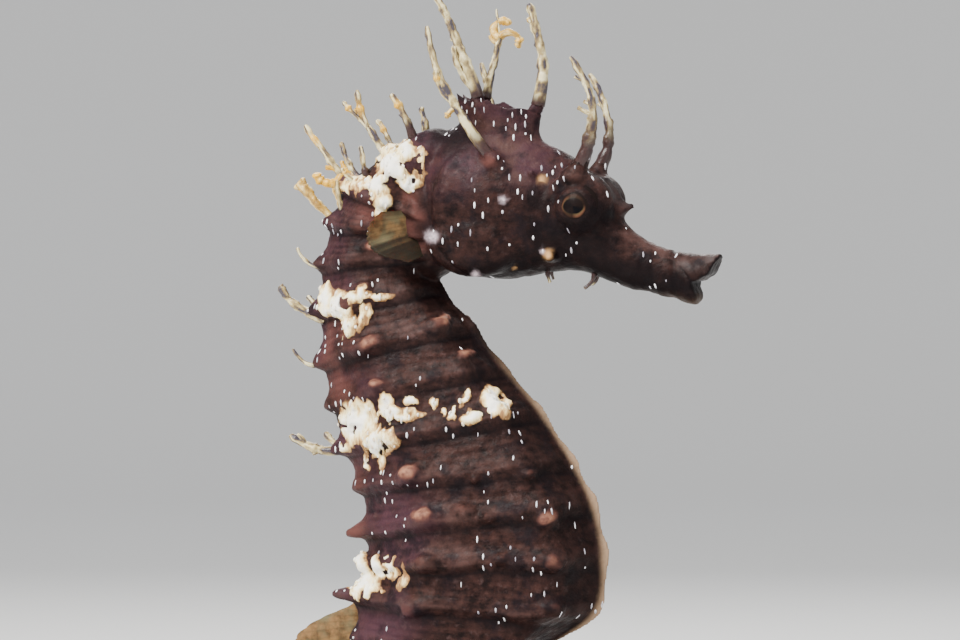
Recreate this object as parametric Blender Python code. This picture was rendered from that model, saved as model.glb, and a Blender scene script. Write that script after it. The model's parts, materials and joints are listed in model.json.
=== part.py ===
"""A long-snouted seahorse at life size, held upright by a plain display stand.

Numbers are millimetres until a mesh is made. +X is the way the snout points, +Z is up, and the animal is
alike on both sides of the XZ plane apart from its skin filaments. The animal is drawn in its own frame,
with z = 0 at the low end of the trunk, and placed over the middle of the stand when its meshes are made.
"""

import math
from collections import namedtuple

import bmesh
import bpy
from mathutils import Vector

MM = 0.001  # metres in a millimetre
GAP = 0.3  # clearance between two pieces that meet
OVERLAP = 3.0  # how far a cutter runs past what it cuts

# The stand
BASE_RADIUS = 34.0
BASE_HEIGHT = 6.0
BASE_BEVEL = 1.2
ROD_RADIUS = 1.4
ROD_CLEAR = 9.0  # from the base's top to the tail's lowest point
ROD_SEAT = 1.2  # how far the rod stands in the tail

# The body: rings 1 to 11 are the trunk's, and ring 12 is the tail's first
TAIL_RINGS = 38
TAIL_FIRST_LENGTH = 2.9
TAIL_LAST_LENGTH = 1.0
TAIL_HALF_BASE = 4.5
TAIL_HALF_TIP = 0.5
TAIL_TAPER = 1.2
TAIL_TURN_EARLY = 20.0  # degrees of even bend
TAIL_TURN_LATE = 480.0  # degrees of bend that gathers towards the tip
TAIL_TURN_POWER = 2.2
TAIL_DEPTH_SHARE = 1.06  # the tail is this much deeper than it is wide
GROOVE = 0.06  # how much the body narrows between two rings

# The head
SNOUT_FROM = 13.9
JAW_FROM = 18.7
JAW_NOTCH = (22.2, 28.9)
JAW_NOTCH_RADIUS = 2.2
JAW_FRONT = 25.0  # beyond the lips
JAW_LOW = 24.0  # below the chin
MOUTH_BACK = 29.7  # the slit's height at its back end
MOUTH_FRONT = 31.0  # and at JAW_FRONT
EYE_CENTRE = (10.2, 2.1, 35.75)
EYE_RADIUS = 2.5
EYE_INNER = 0.5  # the eyeballs are cut flat this far from the midplane
ORBIT_CENTRE = (10.15, 1.5, 35.75)
ORBIT_RADIUS = 3.05
CORONET_CENTRE = (1.9, 0.0)
CORONET_HALF_LENGTH = 3.7
CORONET_HALF_WIDTH = 2.4
CORONET_FOOT = 40.5
CORONET_TOP = 44.7
CORONET_POINTS = (0.0, 95.0, 160.0, 200.0, 265.0)  # degrees round from the snout
CORONET_POINT_SPREAD = 32.0  # degrees to either side
CORONET_POINT_RISE = 0.8
CORONET_REAR_RISE = 0.9
CORONET_SIDES = 20
# Share of the height, size, and how far the points stand out
CORONET_LEVELS = ((0.0, 1.10, 0.0), (0.45, 0.99, 0.02), (0.75, 0.98, 0.08), (1.0, 1.0, 0.22))
CORONET_HOLLOWS = ((0.55, -0.35), (0.12, -0.60))  # size of the hollow's steps and how deep they lie

Ring = namedtuple("Ring", "x z lean depth width")
Section = namedtuple("Section", "top bottom width top_power bottom_power")
Filament = namedtuple("Filament", "root lean splay bend length radius tip_radius")

# Centre, tilt of the ring (front edge up), half of its depth and half of its width. The first two lie in
# the nape, where the body bends forward into the head.
FIRST_RING = -1
TRUNK = (
    Ring(-2.6, 39.7, -80.0, 3.6, 3.5),
    Ring(-6.2, 38.6, -52.0, 4.3, 3.9),
    Ring(-8.5, 36.5, -30.0, 4.9, 4.1),
    Ring(-9.3, 33.7, -12.0, 4.7, 4.0),
    Ring(-9.5, 30.9, 4.0, 5.1, 4.1),
    Ring(-9.1, 27.4, 11.0, 5.8, 4.4),
    Ring(-7.5, 23.4, 14.0, 7.2, 4.9),
    Ring(-5.5, 19.5, 13.0, 8.3, 5.4),
    Ring(-3.1, 15.6, 11.5, 9.4, 5.9),
    Ring(-0.8, 11.6, 8.0, 10.1, 6.3),
    Ring(0.6, 7.7, 5.0, 10.7, 6.6),
    Ring(1.0, 3.7, 3.5, 11.3, 6.6),
    Ring(0.2, -0.4, 1.0, 11.2, 6.2),
    Ring(-3.2, -4.4, -3.0, 8.0, 5.2),
)
TAIL_START = (-6.4, -8.0)
TAIL_START_LEAN = -6.0

# Half of a ring's outline, from the middle of the back to the middle of the belly: shares of its half
# depth and half width. Points 1, 3 and 5 are the bony ridges, and point 8 is the belly's keel.
TRUNK_HALF = (
    (-0.95, 0.00),
    (-1.01, 0.40),
    (-0.66, 0.80),
    (-0.32, 1.00),
    (0.15, 0.91),
    (0.64, 0.75),
    (0.80, 0.40),
    (0.90, 0.10),
    (1.00, 0.00),
)
TAIL_HALF = (
    (-0.86, 0.00),
    (-0.95, 0.80),
    (-0.50, 0.86),
    (0.00, 0.84),
    (0.50, 0.86),
    (0.95, 0.80),
    (0.90, 0.50),
    (0.86, 0.25),
    (0.86, 0.00),
)
DORSAL, LATERAL, VENTRAL = 1, 3, 5
TAIL_POINTS = (0, 1, 3, 5, 8)
DORSAL_SPINES = {1: 1.2, 2: 1.0, 3: 0.8, 4: 1.2, 5: 0.8, 7: 1.2, 9: 1.9, 11: 2.2, 13: 1.0}
LATERAL_SPINES = {4: 0.9, 7: 0.9, 11: 0.8}
SMALL_SPINE = 0.45
TAIL_SPINE_SHARES = (0.176, 0.352)  # of the tail's half depth, on even and on odd rings
TAIL_BELLY_SPINES = 0.5  # the lower ridge's spines, as a share of the upper one's
SPINE_SPREAD = 0.3  # of a ring's length, either side of its middle
TO_TAIL = 1.6  # rings over which the trunk's outline turns into the tail's

HEAD = (
    Section((-4.1, 39.4), (-4.6, 32.8), 1.8, 2.0, 2.0),
    Section((-3.7, 41.6), (-3.8, 30.5), 3.6, 1.9, 2.1),
    Section((-2.4, 43.0), (-2.1, 29.9), 4.7, 1.8, 2.2),
    Section((0.2, 43.4), (0.4, 29.3), 5.1, 1.7, 2.2),
    Section((2.6, 43.0), (2.7, 29.2), 4.9, 1.7, 2.2),
    Section((5.0, 42.1), (5.0, 29.5), 4.3, 1.7, 2.1),
    Section((7.4, 41.0), (7.4, 29.9), 3.7, 1.7, 2.0),
    Section((9.6, 39.7), (9.6, 29.9), 3.2, 1.8, 2.0),
    Section((11.6, 37.6), (11.6, 29.3), 2.7, 1.9, 2.0),
    Section((12.9, 35.4), (12.9, 28.8), 2.35, 2.0, 2.0),
    Section((SNOUT_FROM, 34.2), (SNOUT_FROM, 28.4), 2.15, 2.0, 2.0),
)
SNOUT = (
    Section((SNOUT_FROM + GAP, 33.9), (SNOUT_FROM + GAP, 28.3), 2.1, 2.0, 2.0),
    Section((15.8, 32.7), (15.8, 28.1), 1.9, 2.0, 2.0),
    Section((17.5, 32.0), (17.4, 27.7), 1.75, 2.1, 2.1),
    Section((19.3, 31.6), (18.9, 27.3), 1.7, 2.2, 2.2),
    Section((21.3, 31.5), (19.7, 27.05), 1.9, 2.4, 2.4),
    Section((22.8, 31.5), (20.4, 26.95), 1.7, 2.4, 2.4),
)
HEAD_POINTS = 24
SNOUT_POINTS = 16

# Root, lean from upright towards the snout, lean away from the midplane, change of the first lean along
# the length, length, and the radius at the root and at the tip. A negative y is the animal's right side.
FILAMENTS = {
    "coronet_filament_front": Filament((5.8, 0.0, 46.0), -7, 0, -10, 8.2, 0.60, 0.32),
    "coronet_filament_rear_right": Filament((0.2, -1.2, 45.9), -15, 7, -14, 10.0, 0.60, 0.30),
    "coronet_filament_rear_left": Filament((0.2, 1.2, 45.9), 8, 7, 8, 6.0, 0.50, 0.40),
    "coronet_filament_side_right": Filament((2.2, -2.6, 40.8), -38, 14, 28, 12.8, 0.80, 0.30),
    "coronet_filament_side_left": Filament((2.2, 2.6, 40.8), -34, 18, 22, 9.4, 0.75, 0.30),
    "eye_filament_right": Filament((10.1, -2.9, 38.1), 32, 5, -74, 11.9, 1.10, 0.32),
    "eye_filament_left": Filament((9.9, 2.9, 38.2), 27, 5, -60, 10.0, 0.90, 0.30),
    "nape_filament_right": Filament((-5.5, -1.6, 42.0), -18, 8, -10, 4.6, 0.55, 0.30),
    "nape_filament_left": Filament((-5.7, 1.6, 41.8), -6, 8, -10, 3.2, 0.45, 0.28),
    "back_filament_0_right": Filament((-8.1, -1.6, 40.7), -40, 8, -4, 6.9, 0.50, 0.32),
    "back_filament_0_left": Filament((-8.4, 1.6, 40.6), -30, 12, -8, 4.4, 0.45, 0.28),
    "back_filament_1_right": Filament((-12.6, -1.7, 38.4), -38, 8, 14, 5.8, 0.55, 0.28),
    "back_filament_1_left": Filament((-12.6, 1.7, 38.4), -42, 14, 20, 4.0, 0.50, 0.28),
    "back_filament_2_right": Filament((-13.9, -1.7, 34.9), -52, 8, 4, 4.4, 0.50, 0.32),
    "back_filament_2_left": Filament((-13.9, 1.7, 34.9), -56, 14, 10, 3.6, 0.45, 0.30),
    "back_filament_4_right": Filament((-14.3, -1.8, 25.4), -74, 8, 40, 5.4, 0.50, 0.30),
    "back_filament_4_left": Filament((-14.3, 1.8, 25.4), -78, 14, 40, 4.2, 0.45, 0.28),
    "back_filament_7_right": Filament((-12.5, -2.3, 13.6), -104, 8, 60, 5.2, 0.50, 0.30),
    "back_filament_7_left": Filament((-12.5, 2.3, 13.6), -100, 14, 56, 4.2, 0.45, 0.28),
}
FILAMENT_SIDES = 6
FILAMENT_STEPS = 7

FIN_THICKNESS = 0.55
DORSAL_FIN = {"foot": (-10.2, -4.2), "spread": (158.0, 236.0), "reach": 7.6, "foot_length": 8.4}
ANAL_FIN = {"foot": (0.2, -5.4), "spread": (-80.0, -25.0), "reach": 4.2, "foot_length": 1.8}
PECTORAL_FIN = {"foot": (-3.6, 34.0), "spread": (164.0, 206.0), "reach": 5.4, "foot_length": 2.4}
PECTORAL_OUT = 4.1  # from the midplane at its foot
PECTORAL_FLARE = 16.0  # degrees away from the body
FIN_SHORTEST = 0.72  # a fin's first ray, as a share of its reach
FIN_LAST_RAY_TURN = 1.15  # where the rays' lengths reach the end of their swell
FIN_RAY_TEETH = 0.03  # every second ray stands out by this share
FIN_WAVE = 0.12
FIN_ROWS = (0.0, 0.6, 1.0)
FIN_RAYS = 9


def blended(values, at):
    """A smooth curve through equally spaced values, read at a place counted from the first."""
    last = len(values) - 1
    i = min(max(int(math.floor(at)), 0), last - 1)
    t = at - i
    a, b, c, d = (values[min(max(k, 0), last)] for k in (i - 1, i, i + 1, i + 2))
    return b + 0.5 * t * (c - a + t * (2 * a - 5 * b + 4 * c - d + t * (3 * (b - c) + d - a)))


def tail_rings():
    """The tail's rings, curling forward into a loose coil."""
    rings = []
    x, z = TAIL_START
    for k in range(TAIL_RINGS):
        t = k / (TAIL_RINGS - 1)
        lean = TAIL_START_LEAN + TAIL_TURN_EARLY * t + TAIL_TURN_LATE * t**TAIL_TURN_POWER
        half = TAIL_HALF_TIP + (TAIL_HALF_BASE - TAIL_HALF_TIP) * (1 - t) ** TAIL_TAPER
        rings.append(Ring(x, z, lean, half * TAIL_DEPTH_SHARE, half))
        length = TAIL_FIRST_LENGTH + (TAIL_LAST_LENGTH - TAIL_FIRST_LENGTH) * t
        t_mid = (k + 0.5) / (TAIL_RINGS - 1)
        heading = TAIL_START_LEAN + TAIL_TURN_EARLY * t_mid + TAIL_TURN_LATE * t_mid**TAIL_TURN_POWER
        x += length * math.sin(math.radians(heading))
        z -= length * math.cos(math.radians(heading))
    return rings


RINGS = list(TRUNK) + tail_rings()
LAST_RING = FIRST_RING + len(RINGS) - 1
TAIL_FROM = FIRST_RING + len(TRUNK)
LOWEST = min(range(len(TRUNK), len(RINGS)), key=lambda i: RINGS[i].z - RINGS[i].depth)
LIFT = BASE_HEIGHT + ROD_CLEAR - (RINGS[LOWEST].z - RINGS[LOWEST].depth)
ALONG = -1.5  # the animal's frame from the middle of the stand
NAPE_FROM = FIRST_RING + 0.2
NECK_TO = 3.5  # between two rings
TAIL_LENGTH_RINGS = 9  # in each length of the tail but the last
SEAT_REACH = 2  # rings to either side of the rod that its socket may touch
SIDES = ((-1, "right"), (1, "left"))


def ring_at(r):
    """The body's ring at any place along it, whole numbers being the rings' middles."""
    return Ring(*(blended([ring[k] for ring in RINGS], r - FIRST_RING) for k in range(5)))


def spine_height(r, ridge, depth):
    """How far a ridge stands out at a place along the body: a peak on each ring's middle."""
    nearest = round(r)
    share = max(0.0, 1 - abs(r - nearest) / SPINE_SPREAD)
    if nearest < 1 or nearest >= LAST_RING:
        return 0.0
    if nearest >= TAIL_FROM:
        full = TAIL_SPINE_SHARES[nearest % 2] * depth
        return share * full * (1.0 if ridge == DORSAL else TAIL_BELLY_SPINES)
    full = {DORSAL: DORSAL_SPINES, LATERAL: LATERAL_SPINES}.get(ridge, {}).get(nearest, SMALL_SPINE)
    return share * full


def ring_outline(r, grow=0.0, points=range(9)):
    """The closed outline of the body at a place along it, grown outwards for a cutter."""
    ring = ring_at(r)
    to_tail = min(max((r - (TAIL_FROM - TO_TAIL)) / TO_TAIL, 0.0), 1.0)
    narrow = 1 - GROOVE * 0.5 * (1 - math.cos(2 * math.pi * (r - round(r))))
    ahead = Vector((math.cos(math.radians(ring.lean)), 0, math.sin(math.radians(ring.lean))))
    half = []
    for i in points:
        u = TRUNK_HALF[i][0] * (1 - to_tail) + TAIL_HALF[i][0] * to_tail
        v = TRUNK_HALF[i][1] * (1 - to_tail) + TAIL_HALF[i][1] * to_tail
        offset = Vector((u * ring.depth, v * ring.width)) * narrow
        if i in (DORSAL, LATERAL, VENTRAL):
            offset += offset.normalized() * spine_height(r, i, ring.depth)
        offset += offset.normalized() * grow
        half.append((offset.x, offset.y))
    around = half + [(u, -v) for u, v in reversed(half[1:-1])]
    centre = Vector((ring.x, 0, ring.z))
    return [centre + ahead * u + Vector((0, v, 0)) for u, v in around]


def section_outline(section, count, grow=0.0):
    """The closed outline of a head section: a rounded form between its top and bottom points."""
    top = Vector((section.top[0], 0, section.top[1]))
    bottom = Vector((section.bottom[0], 0, section.bottom[1]))
    centre = (top + bottom) / 2
    up = (top - bottom).normalized()
    half = (top - bottom).length / 2 + grow
    points = []
    for k in range(count):
        angle = 2 * math.pi * k / count
        across, rise = math.cos(angle), math.sin(angle)
        power = section.top_power if rise >= 0 else section.bottom_power
        y = math.copysign(abs(across) ** (2 / power), across) * (section.width + grow)
        share = math.copysign(abs(rise) ** (2 / power), rise)
        points.append(centre + Vector((0, y, 0)) + up * share * half)
    return points


def placed(point):
    """A point of the animal's frame, over the stand and in metres."""
    return Vector((point[0] + ALONG, point[1], point[2] + LIFT)) * MM


def finish_of(name, colour, roughness, metallic=0.0):
    """A named material, made once."""
    found = bpy.data.materials.get(name)
    if found:
        return found
    material = bpy.data.materials.new(name)
    material.use_nodes = True
    shader = material.node_tree.nodes["Principled BSDF"]
    shader.inputs["Base Color"].default_value = (*colour, 1.0)
    shader.inputs["Roughness"].default_value = roughness
    shader.inputs["Metallic"].default_value = metallic
    return material


def skin():
    """The dark purple-brown hide."""
    return finish_of("dark_skin", (0.045, 0.026, 0.032), 0.45)


def filament_skin():
    """The pale flesh of the filaments."""
    return finish_of("filament_skin", (0.62, 0.56, 0.44), 0.5)


def fin_web():
    """The fins' olive web."""
    return finish_of("fin_web", (0.20, 0.15, 0.09), 0.4)


def made(name, bm, material, smooth_angle=40.0):
    """A mesh object from a bmesh in metres, its faces turned outwards."""
    bmesh.ops.recalc_face_normals(bm, faces=bm.faces)
    mesh = bpy.data.meshes.new(name)
    bm.to_mesh(mesh)
    bm.free()
    mesh.shade_smooth()
    mesh.set_sharp_from_angle(angle=math.radians(smooth_angle))
    mesh.materials.append(material)
    obj = bpy.data.objects.new(name, mesh)
    bpy.context.scene.collection.objects.link(obj)
    return obj


def lofted(name, outlines, material):
    """A closed solid through equal outlines, with flat ends."""
    bm = bmesh.new()
    rows = [[bm.verts.new(placed(p)) for p in outline] for outline in outlines]
    count = len(rows[0])
    for low, high in zip(rows, rows[1:]):
        for k in range(count):
            bm.faces.new((low[k], low[(k + 1) % count], high[(k + 1) % count], high[k]))
    bm.faces.new(rows[0])
    bm.faces.new(rows[-1])
    return made(name, bm, material)


def as_cutter(obj):
    """Marks an object as a tool that isn't part of the model."""
    obj.hide_render = True
    obj.display_type = "WIRE"
    return obj


def change(obj, operation, other):
    """Adds a Boolean with another object."""
    modifier = obj.modifiers.new(f"{operation.lower()}_{other.name}", "BOOLEAN")
    modifier.operation = operation
    modifier.solver = "EXACT"
    modifier.object = other


def ball(name, centre, radius, segments=20, rings=12, material=None):
    """A round form with its poles towards the sides of the animal."""
    bm = bmesh.new()
    bmesh.ops.create_uvsphere(bm, u_segments=segments, v_segments=rings, radius=radius * MM)
    for vert in bm.verts:
        vert.co = Vector((vert.co.x, vert.co.z, -vert.co.y)) + placed(centre)
    return made(name, bm, material or skin(), 60.0)


def spike(name, foot, tip, foot_radius, tip_radius, sides=8):
    """A blunt cone between two points."""
    bm = bmesh.new()
    start, end = Vector(foot), Vector(tip)
    across = (end - start).normalized()
    side = across.orthogonal().normalized()
    other = across.cross(side)
    rows = []
    for centre, radius in ((start, foot_radius), (end, tip_radius)):
        angles = [2 * math.pi * k / sides for k in range(sides)]
        ring = [centre + (side * math.cos(a) + other * math.sin(a)) * radius for a in angles]
        rows.append([bm.verts.new(placed(p)) for p in ring])
    for k in range(sides):
        bm.faces.new((rows[0][k], rows[0][(k + 1) % sides], rows[1][(k + 1) % sides], rows[1][k]))
    bm.faces.new(rows[0])
    bm.faces.new(rows[1])
    return made(name, bm, skin())


def body_length(name, start, end, steps, points, grow=0.0):
    """A length of the body between two places along it. The clearance comes off each end of a solid, and a
    cutter is longer by as much."""
    first, second = ring_at(start), ring_at(start + 1)
    trim = GAP / 2 / math.hypot(second.x - first.x, second.z - first.z)
    if grow:
        trim = -trim
    places = [start + trim]
    places += [k / steps for k in range(math.floor(start * steps) + 1, math.ceil(end * steps))]
    places.append(end - trim)
    return lofted(name, [ring_outline(r, grow, points) for r in places], skin())


def head_form(name, grow=0.0):
    """The cranium with the gill covers, without its spines."""
    return lofted(name, [section_outline(s, HEAD_POINTS, grow) for s in HEAD], skin())


def head_spines():
    """The nose, cheek and brow spines, as (foot, tip, foot radius, tip radius)."""
    spines = [((12.2, 0, 34.8), (14.6, 0, 35.9), 0.9, 0.2)]
    for side in (-1, 1):
        spines.append(((7.6, side * 2.4, 31.4), (7.9, side * 4.3, 30.9), 0.8, 0.4))
        spines.append(((6.2, side * 2.2, 38.0), (6.0, side * 3.9, 38.9), 0.7, 0.25))
        spines.append(((-1.6, side * 3.0, 32.6), (-2.6, side * 5.6, 32.6), 0.9, 0.55))
    return spines


def on_side(point, side):
    """A point of the left side, or its twin on the right."""
    return (point[0], side * point[1], point[2])


def build_head():
    """The cranium with its orbits and spines, hollowed for the eyes."""
    head = head_form("head")
    for side, label in SIDES:
        orbit = ball(f"orbit_{label}", on_side(ORBIT_CENTRE, side), ORBIT_RADIUS)
        change(head, "UNION", as_cutter(orbit))
    for index, spine in enumerate(head_spines()):
        change(head, "UNION", as_cutter(spike(f"head_spine_{index}", *spine)))
    for side, label in SIDES:
        socket = ball(f"socket_{label}", on_side(EYE_CENTRE, side), EYE_RADIUS + GAP)
        change(head, "DIFFERENCE", as_cutter(socket))


def build_eyes():
    """The eyeballs, each cut flat on its inner side so that the two stay clear of one another."""
    eye = finish_of("eye_dark", (0.02, 0.012, 0.01), 0.08)
    for side, label in SIDES:
        globe = ball(f"eye_{label}", on_side(EYE_CENTRE, side), EYE_RADIUS, material=eye)
        inner = [on_side(p, side) for p in box_corners(EYE_CENTRE[0], EYE_INNER - OVERLAP, EYE_CENTRE[2])]
        change(globe, "DIFFERENCE", as_cutter(block(f"eye_trim_{label}", inner)))


def box_corners(x, y, z):
    """The corners of a box about a point, low corners first."""
    half = OVERLAP * 1.5
    signs = [(i, j, k) for k in (-1, 1) for j in (-1, 1) for i in (-1, 1)]
    return [(x + i * half, y + j * OVERLAP, z + k * half) for i, j, k in signs]


def block(name, corners):
    """A solid from eight corners in the order of box_corners."""
    bm = bmesh.new()
    verts = [bm.verts.new(placed(c)) for c in corners]
    for face in ((0, 1, 3, 2), (4, 6, 7, 5), (0, 4, 5, 1), (2, 3, 7, 6), (0, 2, 6, 4), (1, 5, 7, 3)):
        bm.faces.new([verts[i] for i in face])
    return made(name, bm, skin())


def jaw_block(name, grow):
    """What lies below and before the mouth's slit."""
    corners = []
    for z_back, z_front in ((JAW_LOW, JAW_LOW), (MOUTH_BACK + grow, MOUTH_FRONT + grow)):
        for y in (-OVERLAP, OVERLAP):
            corners.append((JAW_FROM - grow, y, z_back))
            corners.append((JAW_FRONT, y, z_front))
    return as_cutter(block(name, corners))


def build_snout():
    """The tube of the snout with its upper lip, and the lower jaw that closes its end."""
    outlines = [section_outline(s, SNOUT_POINTS) for s in SNOUT]
    snout = lofted("snout", outlines, skin())
    change(snout, "DIFFERENCE", jaw_block("jaw_room", GAP))
    jaw = lofted("lower_jaw", outlines, skin())
    change(jaw, "INTERSECT", jaw_block("jaw_extent", 0.0))
    x, z = JAW_NOTCH
    ends = ((x, -OVERLAP, z), (x, OVERLAP, z))
    notch = spike("jaw_notch", *ends, JAW_NOTCH_RADIUS, JAW_NOTCH_RADIUS, 16)
    change(jaw, "DIFFERENCE", as_cutter(notch))


def coronet_outline(share, size, star):
    """The crown's outline at a share of its height."""
    outline = []
    for k in range(CORONET_SIDES):
        angle = 360.0 * k / CORONET_SIDES
        ahead, aside = math.cos(math.radians(angle)), math.sin(math.radians(angle))
        near = min(abs((angle - p + 180) % 360 - 180) for p in CORONET_POINTS)
        point = max(0.0, 1 - near / CORONET_POINT_SPREAD) ** 2
        reach = size * (1 + star * (point - 0.35))
        x = CORONET_CENTRE[0] + ahead * CORONET_HALF_LENGTH * reach
        y = CORONET_CENTRE[1] + aside * CORONET_HALF_WIDTH * reach
        rise = share**3 * (CORONET_POINT_RISE * point + CORONET_REAR_RISE * max(0.0, -ahead))
        outline.append(Vector((x, y, CORONET_FOOT + (CORONET_TOP - CORONET_FOOT) * share + rise)))
    return outline


def build_coronet(cutters):
    """The crown: a column that flares into five blunt points round a hollow top."""
    outlines = [coronet_outline(*level) for level in CORONET_LEVELS]
    rim = outlines[-1]
    middle = Vector((*CORONET_CENTRE, CORONET_TOP))
    for size, drop in CORONET_HOLLOWS:
        outlines.append([middle + (p - middle) * size + Vector((0, 0, drop)) for p in rim])
    coronet = lofted("coronet", outlines, skin())
    for cutter in cutters:
        change(coronet, "DIFFERENCE", cutter)


def filament_outlines(filament):
    """Rings of a filament that bends evenly as it rises from its root."""
    point = Vector(filament.root)
    side = math.copysign(1.0, filament.root[1])
    splay = math.radians(filament.splay)
    outlines = []
    for k in range(FILAMENT_STEPS + 1):
        t = k / FILAMENT_STEPS
        lean = math.radians(filament.lean + filament.bend * t)
        forward, up = math.sin(lean) * math.cos(splay), math.cos(lean) * math.cos(splay)
        ahead = Vector((forward, side * math.sin(splay), up))
        across = Vector((0, 1, 0)).cross(ahead).normalized()
        other = ahead.cross(across)
        radius = filament.tip_radius + (filament.radius - filament.tip_radius) * (1 - t) ** 2
        angles = [2 * math.pi * j / FILAMENT_SIDES for j in range(FILAMENT_SIDES)]
        outlines.append([point + (across * math.cos(a) + other * math.sin(a)) * radius for a in angles])
        point += ahead * filament.length / FILAMENT_STEPS
    return outlines


def build_filaments(head_cut, body_cut):
    """All the large skin filaments, each cut off where it leaves the body."""
    for name, filament in FILAMENTS.items():
        rod = lofted(name, filament_outlines(filament), filament_skin())
        if name.startswith("eye"):
            centre = on_side(ORBIT_CENTRE, math.copysign(1.0, filament.root[1]))
            change(rod, "DIFFERENCE", head_cut)
            change(rod, "DIFFERENCE", as_cutter(ball(f"orbit_cut_{name}", centre, ORBIT_RADIUS + GAP)))
        elif "_side_" in name:
            change(rod, "DIFFERENCE", head_cut)
        elif not name.startswith("coronet"):
            change(rod, "DIFFERENCE", body_cut)


def fan_outline(fin):
    """Foot and rim points of a fin in its own plane, as rays that fan out from its foot."""
    x, z = fin["foot"]
    start, end = fin["spread"]
    middle = math.radians((start + end) / 2)
    along = Vector((-math.sin(middle), math.cos(middle)))
    foot, rim = [], []
    for k in range(FIN_RAYS):
        t = k / (FIN_RAYS - 1)
        angle = math.radians(start + (end - start) * t)
        rooted = Vector((x, z)) + along * fin["foot_length"] * (t - 0.5)
        swell = math.sin(math.pi * min(t * FIN_LAST_RAY_TURN, 1.0))
        reach = fin["reach"] * (FIN_SHORTEST + (1 - FIN_SHORTEST) * swell)
        reach *= 1.0 + FIN_RAY_TEETH * (k % 2)
        foot.append(rooted)
        rim.append(rooted + Vector((math.cos(angle), math.sin(angle))) * reach)
    return foot, rim


def fin_rows(fin, side, out, flare):
    """The fin's middle surface: rows of points from its foot to its rim."""
    foot, rim = fan_outline(fin)
    lean = math.tan(math.radians(flare))
    rows = []
    for share in FIN_ROWS:
        row = []
        for k, (start, end) in enumerate(zip(foot, rim)):
            point = start.lerp(end, share)
            away = out + lean * fin["reach"] * share + FIN_WAVE * share * (-1) ** k
            row.append((point.x, side * away if side else away, point.y))
        rows.append(row)
    return rows


def build_fin(name, fin, side, cutters, out=0.0, flare=0.0):
    """A thin fan that stands on its foot, leaning away from the body by the flare."""
    rows = fin_rows(fin, side, out, flare)
    half = FIN_THICKNESS / 2
    bm = bmesh.new()
    low = [[bm.verts.new(placed((x, y - half, z))) for x, y, z in row] for row in rows]
    high = [[bm.verts.new(placed((x, y + half, z))) for x, y, z in row] for row in rows]
    for a, b in ((0, 1), (1, 2)):
        for k in range(FIN_RAYS - 1):
            bm.faces.new((low[a][k], low[a][k + 1], low[b][k + 1], low[b][k]))
            bm.faces.new((high[a][k], high[b][k], high[b][k + 1], high[a][k + 1]))
        for k in (0, FIN_RAYS - 1):
            bm.faces.new((low[a][k], low[b][k], high[b][k], high[a][k]))
    for a in (0, 2):
        for k in range(FIN_RAYS - 1):
            bm.faces.new((low[a][k], low[a][k + 1], high[a][k + 1], high[a][k]))
    fin_object = made(name, bm, fin_web(), 30.0)
    for cutter in cutters:
        change(fin_object, "DIFFERENCE", cutter)


def turned(name, radius, low, high, sides, material, centre=(0.0, 0.0), bevel=0.0):
    """An upright round piece in the stand's frame, from its foot to its top."""
    bm = bmesh.new()
    rows = []
    levels = [(radius - bevel, low), (radius, low + bevel), (radius, high - bevel), (radius - bevel, high)]
    for r, z in levels if bevel else [(radius, low), (radius, high)]:
        angles = [2 * math.pi * k / sides for k in range(sides)]
        ring = [(centre[0] + r * math.cos(a), centre[1] + r * math.sin(a), z) for a in angles]
        rows.append([bm.verts.new(Vector(p) * MM) for p in ring])
    for below, above in zip(rows, rows[1:]):
        for k in range(sides):
            bm.faces.new((below[k], below[(k + 1) % sides], above[(k + 1) % sides], above[k]))
    bm.faces.new(rows[0])
    bm.faces.new(rows[-1])
    return made(name, bm, material)


def build_stand():
    """The round base and the rod. Returns the socket that the rod stands in."""
    wood = finish_of("stand_wood", (0.05, 0.025, 0.014), 0.35)
    brass = finish_of("stand_brass", (0.70, 0.55, 0.30), 0.3, 1.0)
    foot = RINGS[LOWEST]
    centre = (foot.x + ALONG, 0.0)
    top = BASE_HEIGHT + ROD_CLEAR + ROD_SEAT
    turned("stand_base", BASE_RADIUS, 0.0, BASE_HEIGHT, 56, wood, bevel=BASE_BEVEL)
    turned("stand_rod", ROD_RADIUS, BASE_HEIGHT + GAP / 3, top, 20, brass, centre)
    socket = turned("rod_socket", ROD_RADIUS + GAP, BASE_HEIGHT, top + GAP, 20, brass, centre)
    return as_cutter(socket)


def build_body(head_cut, rod_socket):
    """Neck, trunk and the tail's lengths, parted between rings."""
    neck = body_length("neck", NAPE_FROM, NECK_TO, 3, range(9))
    change(neck, "DIFFERENCE", head_cut)
    body_length("trunk", NECK_TO, TAIL_FROM - 0.5, 4, range(9))
    joints = [TAIL_FROM - 0.5 + TAIL_LENGTH_RINGS * k for k in range(4)] + [LAST_RING]
    names = ("tail_base", "tail_middle", "tail_curl", "tail_tip")
    seat = LOWEST + FIRST_RING
    for name, start, end in zip(names, joints, joints[1:]):
        length = body_length(name, start, end, 2, TAIL_POINTS)
        if start - SEAT_REACH < seat < end + SEAT_REACH:
            change(length, "DIFFERENCE", rod_socket)


def main():
    """Clears the scene and builds every piece."""
    for obj in list(bpy.data.objects):
        bpy.data.objects.remove(obj)
    head_cut = as_cutter(head_form("head_cut", GAP))
    body_cut = as_cutter(body_length("body_cut", NAPE_FROM, TAIL_FROM + 3, 4, range(9), GAP))
    build_head()
    build_eyes()
    build_snout()
    build_coronet([head_cut, body_cut])
    build_body(head_cut, build_stand())
    build_filaments(head_cut, body_cut)
    build_fin("dorsal_fin", DORSAL_FIN, 0, [body_cut])
    build_fin("anal_fin", ANAL_FIN, 0, [body_cut])
    for side, label in SIDES:
        name = f"pectoral_fin_{label}"
        build_fin(name, PECTORAL_FIN, side, [head_cut, body_cut], PECTORAL_OUT, PECTORAL_FLARE)


main()
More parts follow.
